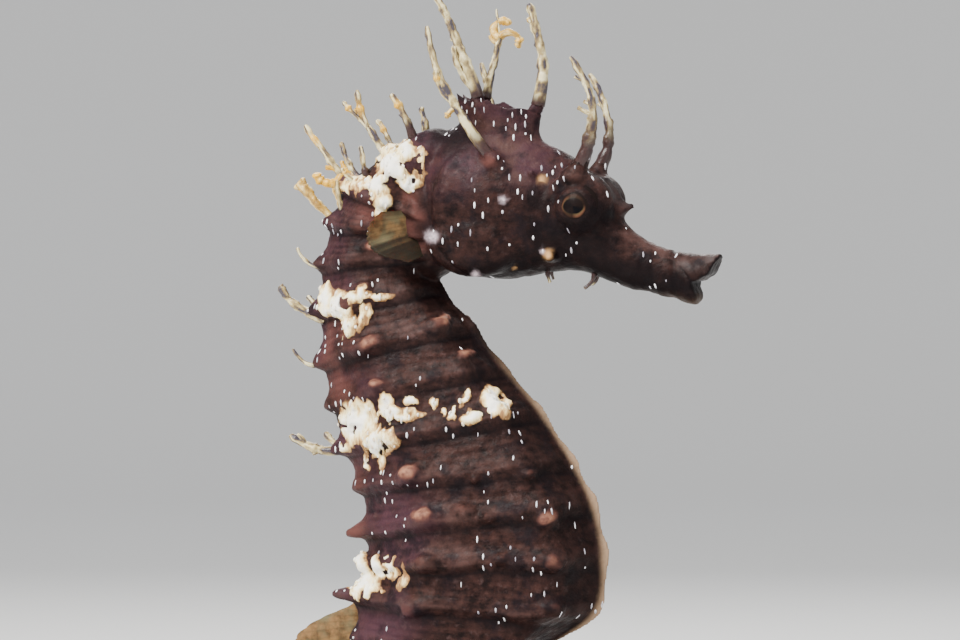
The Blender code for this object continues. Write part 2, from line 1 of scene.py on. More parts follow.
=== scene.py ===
"""A life-size seahorse on a plain display stand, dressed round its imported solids.

The animal is drawn in millimetres in its own frame: +X is the way the snout points, +Z is up, y = 0 is the
plane that parts its two sides, and z = 0 is the low end of the trunk. A Placement, read from the frame, turns
that into the metres of the stand's frame. One skin is lofted from the body's rings and the head's sections,
closed into a single surface, and then worked over in relief. Eyes, fins, filaments, crust and flecks are
pieces of their own.
"""

import json
import logging
import math
from dataclasses import dataclass
from enum import Enum
from itertools import product

import bmesh
import bpy
import numpy as np
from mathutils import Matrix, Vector

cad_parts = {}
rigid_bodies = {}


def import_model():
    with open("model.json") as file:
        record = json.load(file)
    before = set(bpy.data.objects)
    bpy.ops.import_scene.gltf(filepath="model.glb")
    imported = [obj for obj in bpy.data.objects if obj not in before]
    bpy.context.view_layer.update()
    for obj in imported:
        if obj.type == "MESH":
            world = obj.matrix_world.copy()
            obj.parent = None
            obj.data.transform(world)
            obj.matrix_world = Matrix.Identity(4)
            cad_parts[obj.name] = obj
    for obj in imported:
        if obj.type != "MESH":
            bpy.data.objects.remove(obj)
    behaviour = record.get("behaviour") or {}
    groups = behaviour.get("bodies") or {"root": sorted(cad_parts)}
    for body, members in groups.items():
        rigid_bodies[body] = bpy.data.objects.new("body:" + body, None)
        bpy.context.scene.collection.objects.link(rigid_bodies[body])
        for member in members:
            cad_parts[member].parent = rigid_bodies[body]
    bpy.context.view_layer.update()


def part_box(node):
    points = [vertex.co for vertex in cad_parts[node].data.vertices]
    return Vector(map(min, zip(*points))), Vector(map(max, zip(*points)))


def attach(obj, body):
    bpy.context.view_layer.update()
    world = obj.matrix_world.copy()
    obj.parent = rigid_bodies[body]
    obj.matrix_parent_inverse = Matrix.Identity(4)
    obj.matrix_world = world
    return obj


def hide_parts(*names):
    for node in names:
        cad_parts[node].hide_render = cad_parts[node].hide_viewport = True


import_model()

MM = 0.001
BODY = "root"
LOG = logging.getLogger("seahorse")

Mesh = bpy.types.Mesh
Object = bpy.types.Object
Material = bpy.types.Material
Socket = bpy.types.NodeSocket
Value = Socket | Material | tuple | float | str
Colour = tuple[float, float, float]
Array = np.ndarray
Arrays = tuple[Array, ...]
Faces = list[tuple[int, ...]]
Profile = list[tuple[float, float]]

# Large odd numbers that scramble a cell's place into its value, and how far one pattern lies from the next
CELL_PRIMES = np.array((374761393, 668265263, 2147483647))
MIXING_PRIME = 1274126177
PATTERN_STEP = 17.3


class Side(Enum):
    """The two flanks, by the sign of y."""

    RIGHT = -1
    LEFT = 1

    @property
    def label(self) -> str:
        """The side's name in piece names."""
        return self.name.lower()


class Slot(Enum):
    """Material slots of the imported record."""

    SKIN = "skin"
    FILAMENT = "filament"
    FIN = "fin"
    EYE = "eye"
    STAND_BASE = "stand_base"
    STAND_ROD = "stand_rod"


# ------------------------------------------------------------
# Numbers along curves, and lumps
# ------------------------------------------------------------


def blended(table: Array, at: Array) -> Array:
    """Reads a smooth curve through equally spaced rows.

    Args:
        table: The rows, one for each whole number.
        at: Places along the rows.

    Returns:
        One row for each place.
    """
    last = len(table) - 1
    low = np.clip(np.floor(at).astype(int), 0, last - 1)
    t = (at - low)[..., None]
    a, b, c, d = (table[np.clip(low + k, 0, last)] for k in (-1, 0, 1, 2))
    return b + 0.5 * t * (c - a + t * (2 * a - 5 * b + 4 * c - d + t * (3 * (b - c) + d - a)))


def smooth(low: float, high: float, value: Array) -> Array:
    """Rises from 0 at low to 1 at high, level at both ends."""
    t = np.clip((value - low) / (high - low), 0.0, 1.0)
    return t * t * (3 - 2 * t)


def unit(value: Array) -> Array:
    """Holds numbers between 0 and 1."""
    return np.clip(value, 0, 1)


def bell(value: Array, width: float | Array) -> Array:
    """Falls from 1 at 0 to about a third at one width to either side."""
    return np.exp(-((value / width) ** 2))


def turns(count: int) -> Array:
    """Even angles once round, in radians."""
    return 2 * np.pi * np.arange(count) / count


def lumps(points: Array, size: float, seed: int = 0) -> Array:
    """Even noise between -1 and 1 over space.

    Args:
        points: Places, in millimetres.
        size: About how wide one lump is.
        seed: Which of many such patterns.

    Returns:
        One number for each place.
    """
    scaled = points / size + seed * PATTERN_STEP
    cell = np.floor(scaled).astype(np.int64)
    t = scaled - cell
    t = t * t * t * (t * (t * 6 - 15) + 10)
    total = np.zeros(len(points))
    for corner in product((0, 1), repeat=3):
        mixed = ((cell + corner) * CELL_PRIMES).sum(axis=1)
        mixed = (mixed ^ (mixed >> 13)) * MIXING_PRIME
        value = ((mixed ^ (mixed >> 16)) & 0xFFFF) / 32767.5 - 1.0
        total += value * np.prod(np.abs(1 - np.array(corner) - t), axis=1)
    return total


# ------------------------------------------------------------
# The animal's measures
# ------------------------------------------------------------


@dataclass(frozen=True)
class Placement:
    """Where the animal's own frame lies in the stand's frame."""

    along: float
    lift: float

    @classmethod
    def from_frame(cls, eye_x: float, eye_z: float) -> "Placement":
        """Finds the placement from the box of the right eye.

        Args:
            eye_x: The eye's centre in the animal's frame.
            eye_z: The eye's height in the animal's frame.

        Returns:
            The placement.
        """
        low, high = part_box("eye_right")
        return cls((low.x + high.x) / 2 / MM - eye_x, (low.z + high.z) / 2 / MM - eye_z)

    def out(self, points: Array) -> Array:
        """Turns places in the animal's frame into metres in the stand's frame."""
        return (np.asarray(points, float) + (self.along, 0.0, self.lift)) * MM


@dataclass
class BodyLine:
    """The rings of neck, trunk and tail: centre x and z, tilt, half depth and half width of each."""

    first_ring: int = -1
    stations: tuple = (
        (-3.2, 39.6, -74.0, 3.7, 3.5), (-5.9, 38.1, -46.0, 3.6, 3.8), (-8.2, 36.1, -20.0, 4.3, 4.0),
        (-9.2, 33.7, -8.0, 4.5, 4.0), (-9.5, 30.9, 4.0, 5.1, 4.1), (-9.1, 27.4, 11.0, 5.8, 4.4),
        (-7.5, 23.4, 14.0, 7.2, 4.9), (-5.5, 19.5, 13.0, 8.3, 5.4), (-3.1, 15.6, 11.5, 9.4, 5.9),
        (-0.8, 11.6, 8.0, 10.1, 6.3), (0.6, 7.7, 8.0, 10.7, 6.6), (1.0, 3.7, 3.0, 11.3, 6.6),
        (0.2, -0.4, -3.5, 11.2, 6.2), (-3.2, -4.4, -6.0, 8.0, 5.2),
    )
    tail_start: tuple = (-6.4, -8.0)
    tail_start_lean: float = -6.0
    tail_rings: int = 38
    tail_lengths: tuple = (2.9, 1.0)
    tail_halves: tuple = (4.5, 0.5)
    tail_taper: float = 1.2
    tail_depth: float = 1.06
    tail_turns: tuple = (20.0, 480.0, 2.2)
    trunk_half: tuple = (
        (-0.95, 0.00), (-1.01, 0.40), (-0.66, 0.80), (-0.32, 1.00), (0.15, 0.91), (0.64, 0.75),
        (0.80, 0.40), (0.91, 0.08), (1.00, 0.00),
    )
    tail_half: tuple = (
        (-0.86, 0.00), (-0.95, 0.80), (-0.50, 0.86), (0.00, 0.84), (0.50, 0.86), (0.95, 0.80),
        (0.90, 0.50), (0.86, 0.25), (0.86, 0.00),
    )
    dorsal_spines: tuple = (
        (0, 0.3), (1, 1.3), (2, 0.8), (3, 0.8), (4, 1.2), (5, 0.8), (7, 1.2), (9, 1.9), (11, 2.3),
        (13, 1.0),
    )
    lateral_spines: tuple = ((4, 0.4), (7, 0.4), (11, 0.4))
    small_spine: float = 0.42
    flank_spine: float = 0.2
    tail_spine: float = 0.22
    spine_length: float = 0.2
    ridges: tuple = (1, 3, 5)
    ridge_width: float = 0.34
    narrowing: float = 0.016
    blend_rings: float = 1.6
    search_step: float = 0.25
    search_batch: int = 20000

    def __post_init__(self) -> None:
        """Works out the tail's rings and joins them to the trunk's."""
        rows = [list(s) for s in self.stations]
        x, z = self.tail_start
        early, late, power = self.tail_turns
        for k in range(self.tail_rings):
            t = k / (self.tail_rings - 1)
            lean = self.tail_start_lean + early * t + late * t**power
            base, tip = self.tail_halves
            half = tip + (base - tip) * (1 - t) ** self.tail_taper
            rows.append([x, z, lean, half * self.tail_depth, half])
            length = self.tail_lengths[0] + (self.tail_lengths[1] - self.tail_lengths[0]) * t
            middle = (k + 0.5) / (self.tail_rings - 1)
            heading = math.radians(self.tail_start_lean + early * middle + late * middle**power)
            x += length * math.sin(heading)
            z -= length * math.cos(heading)
        self.table = np.array(rows)
        self.tail_from = self.first_ring + len(self.stations)
        self.last_ring = self.first_ring + len(rows) - 1

    def at(self, r: Array) -> Array:
        """Reads x, z, tilt, half depth and half width at places along the body."""
        return blended(self.table, np.asarray(r, float) - self.first_ring)

    def locate(self, points: Array) -> Arrays:
        """Finds where points lie on the body.

        Args:
            points: Places in the animal's frame.

        Returns:
            The ring number, the share of the half depth ahead of the middle, and the share of the half
            width away from the midplane, for each place.
        """
        steps = np.arange(self.first_ring, self.last_ring + 0.01, self.search_step)
        rings = self.at(steps)
        reach = np.maximum(rings[None, :, 3], 0.4)
        r = np.empty(len(points))
        for start in range(0, len(points), self.search_batch):
            batch = slice(start, start + self.search_batch)
            part = points[batch]
            gap = (part[:, None, 0] - rings[None, :, 0]) ** 2 + (part[:, None, 2] - rings[None, :, 1]) ** 2
            r[batch] = steps[np.argmin(gap / reach + gap * 0.2, axis=1)]
        nudge, most, least_speed = 0.02, 0.4, 0.6
        for _ in range(6):
            ring, ahead = self.at(r), self.at(r + nudge)
            lean = np.radians(ring[:, 2])
            onward = np.stack([np.sin(lean), -np.cos(lean)], axis=1)
            offset = points[:, (0, 2)] - ring[:, :2]
            speed = ((ahead[:, :2] - ring[:, :2]) / nudge * onward).sum(axis=1)
            step = (offset * onward).sum(axis=1) / np.maximum(speed, least_speed)
            r = np.clip(r + np.clip(step, -most, most), self.first_ring, self.last_ring)
        ring = self.at(r)
        lean = np.radians(ring[:, 2])
        offset = points[:, (0, 2)] - ring[:, :2]
        u = (offset[:, 0] * np.cos(lean) + offset[:, 1] * np.sin(lean)) / ring[:, 3]
        return r, u, np.abs(points[:, 1]) / ring[:, 4]

    def spine_heights(self, ridge: int, r: Array, depth: Array) -> Array:
        """How far a ridge's spines stand out along the body.

        Args:
            ridge: Which ridge of the section.
            r: Ring numbers.
            depth: The body's half depth at each.

        Returns:
            One height for each ring number.
        """
        on_back = ridge == self.ridges[0]
        nearest = np.round(r).astype(int)
        full = np.zeros(len(r))
        table = dict({self.ridges[0]: self.dorsal_spines, self.ridges[1]: self.lateral_spines}.get(ridge, ()))
        for k in range(0, self.last_ring):
            here = nearest == k
            if k >= self.tail_from:
                share = self.tail_spine * (1.6 if k % 2 else 0.8) * (1.0 if on_back else 0.5)
                full[here] = depth[here] * share
            else:
                full[here] = table.get(k, self.small_spine if on_back else self.flank_spine)
        return full * np.exp(-((np.abs(r - nearest) / self.spine_length) ** 1.6))

    @staticmethod
    def outline(half: tuple, places: Array) -> Array:
        """Mirrors half a ring's outline and reads the closed curve at places round it."""
        shape = np.array(half + tuple((u, -v) for u, v in reversed(half[1:-1])))
        return blended(np.vstack([shape[-3:], shape, shape[:3]]), places + 3)

    def tube(self, per_ring: int = 12, around: int = 96) -> Array:
        """The body's surface with its ridges and spines, without the fine relief.

        Args:
            per_ring: Rows for each ring.
            around: Points round each row.

        Returns:
            Rows of points, from the nape to the tip of the tail.
        """
        r = np.arange(self.first_ring + 0.2, self.last_ring + 0.001, 1.0 / per_ring)
        rings = self.at(r)
        to_tail = unit((r - (self.tail_from - self.blend_rings)) / self.blend_rings)[:, None, None]
        corners = 2 * len(self.trunk_half) - 2
        places = np.arange(around) * corners / around
        trunk, tail = self.outline(self.trunk_half, places), self.outline(self.tail_half, places)
        shape = trunk[None] * (1 - to_tail) + tail[None] * to_tail
        offset = shape * rings[:, None, 3:5]
        length = np.linalg.norm(offset, axis=2, keepdims=True)
        narrow = 1 - self.narrowing * (1 - np.cos(2 * np.pi * r))[:, None, None]
        raised = np.zeros(offset.shape[:2])
        for ridge in self.ridges:
            for place in (ridge, corners - ridge):
                across = bell(places - place, self.ridge_width)
                raised += self.spine_heights(ridge, r, rings[:, 3])[:, None] * across[None]
        offset = offset * narrow + offset / length * raised[..., None]
        lean = np.radians(rings[:, 2])[:, None]
        x = rings[:, 0:1] + offset[..., 0] * np.cos(lean)
        z = rings[:, 1:2] + offset[..., 0] * np.sin(lean)
        return np.stack([x, offset[..., 1], z], axis=2)


@dataclass
class HeadForm:
    """The head and snout as sections: top and bottom points, half width and how square each half is."""

    sections: tuple = (
        (-4.1, 39.4, -4.6, 32.8, 1.8, 2.0, 2.0), (-3.7, 41.6, -3.8, 30.5, 3.6, 1.9, 2.1),
        (-2.4, 43.0, -2.1, 29.9, 4.7, 1.8, 2.2), (0.2, 43.4, 0.4, 29.3, 5.0, 1.7, 2.2),
        (2.6, 43.0, 2.7, 29.2, 4.8, 1.7, 2.2), (5.0, 42.1, 5.0, 29.5, 4.3, 1.7, 2.1),
        (7.4, 41.0, 7.4, 29.9, 3.7, 1.7, 2.0), (9.6, 39.7, 9.6, 29.9, 3.2, 1.8, 2.0),
        (11.6, 37.6, 11.6, 29.3, 2.7, 1.9, 2.0), (12.9, 35.4, 12.9, 28.8, 2.35, 2.0, 2.0),
        (14.2, 33.8, 14.2, 28.3, 2.1, 2.0, 2.0), (15.8, 32.7, 15.8, 28.1, 1.9, 2.0, 2.0),
        (17.5, 32.0, 17.4, 27.7, 1.75, 2.1, 2.1), (19.3, 31.6, 18.9, 27.3, 1.7, 2.2, 2.2),
        (21.3, 31.5, 19.7, 27.05, 1.9, 2.3, 2.3), (22.8, 31.45, 20.4, 26.95, 1.7, 2.4, 2.4),
    )
    eye: tuple = (10.2, 2.1, 35.75)
    eye_radius: float = 2.5
    orbit: tuple = (10.15, 1.5, 35.75)
    orbit_radius: float = 3.03
    lid_radius: float = 1.34
    cover: tuple = (0.5, 33.0)
    gill_slit: tuple = (2.0, 35.6)
    gill_slit_halves: tuple = (5.3, 6.4)
    gape: tuple = (
        (20.25, 29.0), (21.0, 29.2), (21.8, 29.65), (22.4, 30.25), (22.75, 30.85), (24.6, 31.3),
        (24.6, 26.0), (21.1, 26.6), (20.9, 27.3), (20.6, 28.0),
    )
    throat: tuple = (-4.4, 31.6)
    girdle: tuple = (-4.9, 0.0, 35.3)
    girdle_halves: tuple = (2.7, 3.9, 4.9)
    nape: tuple = (-4.1, 0.0, 40.7)
    nape_halves: tuple = (2.4, 3.1, 2.3)

    def tube(self, steps: int = 8, around: int = 72) -> Array:
        """The head's surface from behind the gill covers to the lips, as rows of points."""
        table = np.array(self.sections)
        rows = blended(table, np.linspace(0, len(table) - 1, (len(table) - 1) * steps + 1))
        across, rise = np.cos(turns(around)), np.sin(turns(around))
        out = []
        for x1, z1, x2, z2, width, top, bottom in rows:
            power = np.where(rise >= 0, top, bottom)
            y = np.sign(across) * np.abs(across) ** (2 / power) * width
            share = np.sign(rise) * np.abs(rise) ** (2 / power)
            x = (x1 + x2) / 2 + (x1 - x2) / 2 * share
            z = (z1 + z2) / 2 + (z1 - z2) / 2 * share
            out.append(np.stack([x, y, z], axis=1))
        return np.array(out)


@dataclass
class Crown:
    """The coronet: a column that flares into five points round a hollow top."""

    centre: tuple = (1.9, 0.0)
    half_length: float = 3.7
    half_width: float = 2.4
    foot: float = 40.5
    top: float = 44.7
    points: tuple = (0.0, 95.0, 160.0, 200.0, 265.0)
    point_spread: float = 32.0
    foot_flare: float = 0.14
    waist: float = 0.035
    star: float = 0.26
    rise: float = 0.9
    hollow: tuple = ((0.82, 0.12), (0.6, 0.75), (0.3, 1.1), (0.08, 1.2))

    def tube(self, around: int = 80, steps: int = 14) -> Array:
        """The crown's surface from its foot over the rim and down into the hollow."""
        angle = 360.0 * np.arange(around) / around
        near = np.min([np.abs((angle - p + 180) % 360 - 180) for p in self.points], axis=0)
        point = unit(1 - near / self.point_spread) ** 2
        cosine, sine = np.cos(np.radians(angle)), np.sin(np.radians(angle))
        rows = []
        for share in np.linspace(0, 1, steps):
            size = 1.0 + self.foot_flare * (1 - share) ** 2 - self.waist * math.sin(math.pi * share)
            reach = size * (1 + self.star * share**3 * (point - 0.3))
            peaks = self.rise * point + self.rise * unit(-cosine)
            z = self.foot + (self.top - self.foot) * share + share**3 * peaks
            x = self.centre[0] + cosine * self.half_length * reach
            rows.append(np.stack([x, sine * self.half_width * reach, z], axis=1))
        rim = rows[-1]
        middle = np.array([*self.centre, self.top])
        for inward, drop in self.hollow:
            row = middle + (rim - middle) * inward
            row[:, 2] = self.top + (rim[:, 2] - self.top) * inward**2 - drop
            rows.append(row)
        return np.array(rows)


# How fast a filament's sway turns back along its length, in radians over the whole of it
SWAY_BENDS = 9.0


@dataclass(frozen=True)
class Filament:
    """A skin filament: its root, its lean towards the snout and away from the midplane, and its taper."""

    root: tuple
    lean: float
    splay: float
    bend: float
    length: float
    radius: float
    tip_radius: float
    knob: float = 0.0
    dark_root: float = 0.3
    ochre: float = 0.0

    def path(self, steps: int, sway: float = 0.0, seed: int = 0) -> Arrays:
        """Follows the filament from its root.

        Args:
            steps: How many lengths it is cut into.
            sway: How far it wanders off its even bend, in degrees.
            seed: Which way it wanders.

        Returns:
            Points, directions and radii.
        """
        t = np.linspace(0, 1, steps + 1)
        side = math.copysign(1.0, self.root[1])
        wander = sway * np.sin(t * SWAY_BENDS + seed * 2.1) * t
        lean = np.radians(self.lean + self.bend * t + wander)
        splay = math.radians(self.splay)
        outward = np.full(len(t), side * math.sin(splay))
        ahead = np.stack([np.sin(lean) * math.cos(splay), outward, np.cos(lean) * math.cos(splay)], axis=1)
        moved = (ahead[:-1] + ahead[1:]) / 2 * self.length / steps
        points = np.vstack([np.array(self.root), np.array(self.root) + np.cumsum(moved, axis=0)])
        radii = self.tip_radius + (self.radius - self.tip_radius) * (1 - t) ** 2
        return points, ahead, radii


FILAMENTS = {
    "coronet_filament_front": Filament((5.5, 0.0, 44.9), 15, 0, -42, 9.4, 0.66, 0.38, 0.0, 0.04),
    "coronet_filament_rear_right": Filament((0.2, -1.2, 45.6), -15, 7, -14, 10.3, 0.60, 0.36, 0.0, 0.04),
    "coronet_filament_rear_left": Filament((0.2, 1.2, 45.6), 8, 7, 8, 5.9, 0.48, 0.28, 0.0, 0.10),
    "coronet_filament_side_right": Filament((2.6, -3.7, 39.7), -41, 8, 30, 13.9, 0.62, 0.28, 0.0, 0.20),
    "coronet_filament_side_left": Filament((2.6, 3.7, 39.7), -37, 10, 25, 10.5, 0.57, 0.28, 0.0, 0.2),
    "eye_filament_right": Filament((9.5, -2.9, 38.1), 40, 5, -76, 12.0, 0.88, 0.28, 0.0, 0.50),
    "eye_filament_left": Filament((9.8, 2.9, 38.2), 36, 5, -80, 10.4, 0.80, 0.27, 0.0, 0.6),
    "nape_filament_right": Filament((-5.8, -1.6, 41.7), -12, 8, -26, 4.8, 0.50, 0.26, 0.10, 0.45),
    "nape_filament_left": Filament((-5.7, 1.6, 41.8), -6, 8, -10, 3.2, 0.45, 0.26),
    "back_filament_0_right": Filament((-7.9, -1.6, 40.0), -44, 8, 36, 7.3, 0.48, 0.20, 0.24, 0.0),
    "back_filament_0_left": Filament((-8.2, 1.6, 39.9), -30, 12, -8, 4.8, 0.42, 0.20, 0.14, 0.0),
    "back_filament_1_right": Filament((-12.1, -1.7, 38.0), -42, 8, 12, 6.6, 0.44, 0.22, 0.08, 0.14),
    "back_filament_1_left": Filament((-12.1, 1.7, 38.0), -42, 14, 20, 4.6, 0.42, 0.24),
    "back_filament_2_right": Filament((-13.4, -1.7, 34.5), -46, 8, 6, 4.9, 0.30, 0.46, 0.0, 0.0, 0.5),
    "back_filament_2_left": Filament((-13.4, 1.7, 34.5), -30, 14, 10, 3.6, 0.32, 0.34, 0.0, 0.0, 0.5),
    "back_filament_4_right": Filament((-14.3, -1.8, 25.4), -74, 8, 40, 5.4, 0.50, 0.34, 0.0, 0.0),
    "back_filament_4_left": Filament((-14.3, 1.8, 25.4), -78, 14, 40, 4.2, 0.45, 0.30, 0.0, 0.0),
    "back_filament_7_right": Filament((-12.5, -2.3, 13.6), -104, 8, 60, 5.2, 0.50, 0.34, 0.0, 0.12),
    "back_filament_7_left": Filament((-12.5, 2.3, 13.6), -100, 14, 56, 4.2, 0.45, 0.30, 0.0, 0.12),
}


@dataclass(frozen=True)
class Twig:
    """A side branch: where along its parent it sprouts, and its own course."""

    parent: str
    at: float
    lean: float
    bend: float
    length: float
    knob: float = 0.0
    splay: float = 14.0
    radius: float = 0.24
    tip_radius: float = 0.16
    ochre: float = 0.0


TWIGS = (
    Twig("back_filament_0_right", 0.52, -50, 8, 3.3, 0.20, 4, 0.27, 0.15),
    Twig("back_filament_0_right", 0.70, -80, 40, 0.8, 0.0, 8, 0.22, 0.16, 0.4),
    Twig("back_filament_1_right", 0.14, -165, 160, 3.1, 0.16, 20, 0.44, 0.36, 1.0),
    Twig("back_filament_1_right", 0.22, -60, -30, 1.2, 0.0, 24, 0.3, 0.2, 0.9),
    Twig("back_filament_1_left", 0.3, -100, 90, 2.0, 0.0, 20, 0.3, 0.2, 1.0),
    Twig("back_filament_2_right", 0.78, -20, 10, 1.2, 0.0, 8, 0.34, 0.22, 0.4),
    Twig("back_filament_2_right", 0.80, -82, 20, 1.1, 0.0, 8, 0.32, 0.22, 0.4),
    Twig("back_filament_2_left", 0.6, -10, 10, 0.9),
    Twig("back_filament_4_right", 0.72, -20, -30, 1.2),
    Twig("back_filament_4_right", 0.45, -110, 40, 0.7),
    Twig("back_filament_4_right", 0.85, 0, -30, 0.9),
    Twig("back_filament_7_right", 0.66, -20, -30, 1.3),
    Twig("back_filament_7_right", 0.4, -130, 20, 0.8),
    Twig("eye_filament_right", 0.54, -76, 20, 1.5, 0.0, 10, 0.26, 0.2),
    Twig("eye_filament_right", 0.58, -30, -50, 1.0, 0.0, 10, 0.26, 0.2),
    Twig("eye_filament_right", 0.80, -84, 30, 0.9, 0.0, 10, 0.26, 0.2),
    Twig("eye_filament_left", 0.66, -70, 20, 0.8),
    Twig("coronet_filament_side_right", 0.48, -56, 62, 3.3, 0.06, 12, 0.36, 0.26),
    Twig("coronet_filament_side_right", 0.44, -110, -60, 1.4, 0.10, 18, 0.22, 0.2, 0.5),
    Twig("coronet_filament_side_right", 0.60, -60, 50, 1.5, 0.0, 18, 0.28, 0.2),
    Twig("coronet_filament_side_left", 0.56, -66, 40, 1.2, 0.1, 18),
    Twig("coronet_filament_rear_right", 0.05, -46, 44, 4.8, 0.0, 10, 0.34, 0.26),
    Twig("coronet_filament_rear_right", 0.52, -72, 20, 0.7),
    Twig("coronet_filament_rear_left", 0.96, -80, 230, 3.1, 0.14, 8, 0.46, 0.28, 0.75),
    Twig("coronet_filament_rear_left", 0.97, 26, 190, 3.0, 0.16, 10, 0.40, 0.26, 0.6),
    Twig("coronet_filament_rear_left", 0.90, -86, 60, 1.2, 0.0, 14, 0.36, 0.22, 0.6),
    Twig("coronet_filament_rear_left", 0.98, -14, 10, 2.6, 0.0, 4, 0.16, 0.08),
    Twig("coronet_filament_front", 0.80, -72, 40, 1.0, 0.06, 24, 0.3, 0.24),
    Twig("coronet_filament_front", 0.55, -80, 40, 0.6, 0.0, 24),
    Twig("nape_filament_right", 0.45, -60, 30, 0.7),
)

# Feelers that grow straight from the skin and are too slight for a solid of their own
SPRIGS = (
    Filament((-12.5, -2.0, 35.0), -10, 12, 6, 3.3, 0.32, 0.18, 0.0, 0.2),
    Filament((-10.0, -2.2, 38.2), -16, 12, 14, 3.2, 0.46, 0.20, 0.0, 0.5),
    Filament((-14.2, -1.9, 30.2), -96, 10, 84, 3.5, 0.30, 0.14, 0.0, 0.3),
    Filament((-14.2, 1.9, 30.2), -96, 10, 70, 2.4, 0.28, 0.14, 0.0, 0.3),
    Filament((-14.4, -2.0, 21.3), -104, 10, 84, 3.5, 0.30, 0.14, 0.0, 0.3),
    Filament((-14.4, 2.0, 21.3), -104, 10, 70, 2.2, 0.28, 0.14, 0.0, 0.3),
    Filament((-11.0, -2.4, 37.9), -60, 14, 30, 2.0, 0.26, 0.16, 0.1, 0.0),
    Filament((-8.0, -2.0, 40.2), 30, 20, 20, 1.6, 0.22, 0.14, 0.0, 0.0),
    Filament((6.6, -0.5, 30.3), 184, 8, -30, 1.5, 0.28, 0.14, 0.0, 1.0),
    Filament((6.6, 0.5, 30.3), 184, 8, -30, 1.2, 0.26, 0.14, 0.0, 1.0),
    Filament((11.0, -0.6, 29.8), 176, 10, 70, 1.8, 0.28, 0.13, 0.0, 1.0),
    Filament((11.0, 0.6, 29.8), 176, 10, 70, 1.4, 0.26, 0.13, 0.0, 1.0),
)


@dataclass(frozen=True)
class Blot:
    """A marking on a flank: its middle and half sizes on the flank's chart, and its tilt in degrees."""

    x: float
    z: float
    half_x: float
    half_z: float
    tilt: float = 0.0
    strength: float = 1.0

    def far(self, chart: Array) -> Array:
        """How far each place of the chart lies from the middle: 1 on the blot's edge."""
        dx, dz = chart[:, 0] - self.x, chart[:, 1] - self.z
        c, s = math.cos(math.radians(self.tilt)), math.sin(math.radians(self.tilt))
        return np.hypot((dx * c + dz * s) / self.half_x, (dz * c - dx * s) / self.half_z)

    def mask(self, chart: Array, soft: float = 0.35) -> Array:
        """How much each place of the chart lies in the blot, from 0 to 1."""
        return 1 - smooth(1 - soft, 1 + soft, self.far(chart))


def covered(blots: tuple[Blot, ...], chart: Array, soft: float) -> Array:
    """How much each place of the chart lies in any of some blots, from 0 to 1."""
    return np.max([blot.mask(chart, soft) for blot in blots], axis=0)


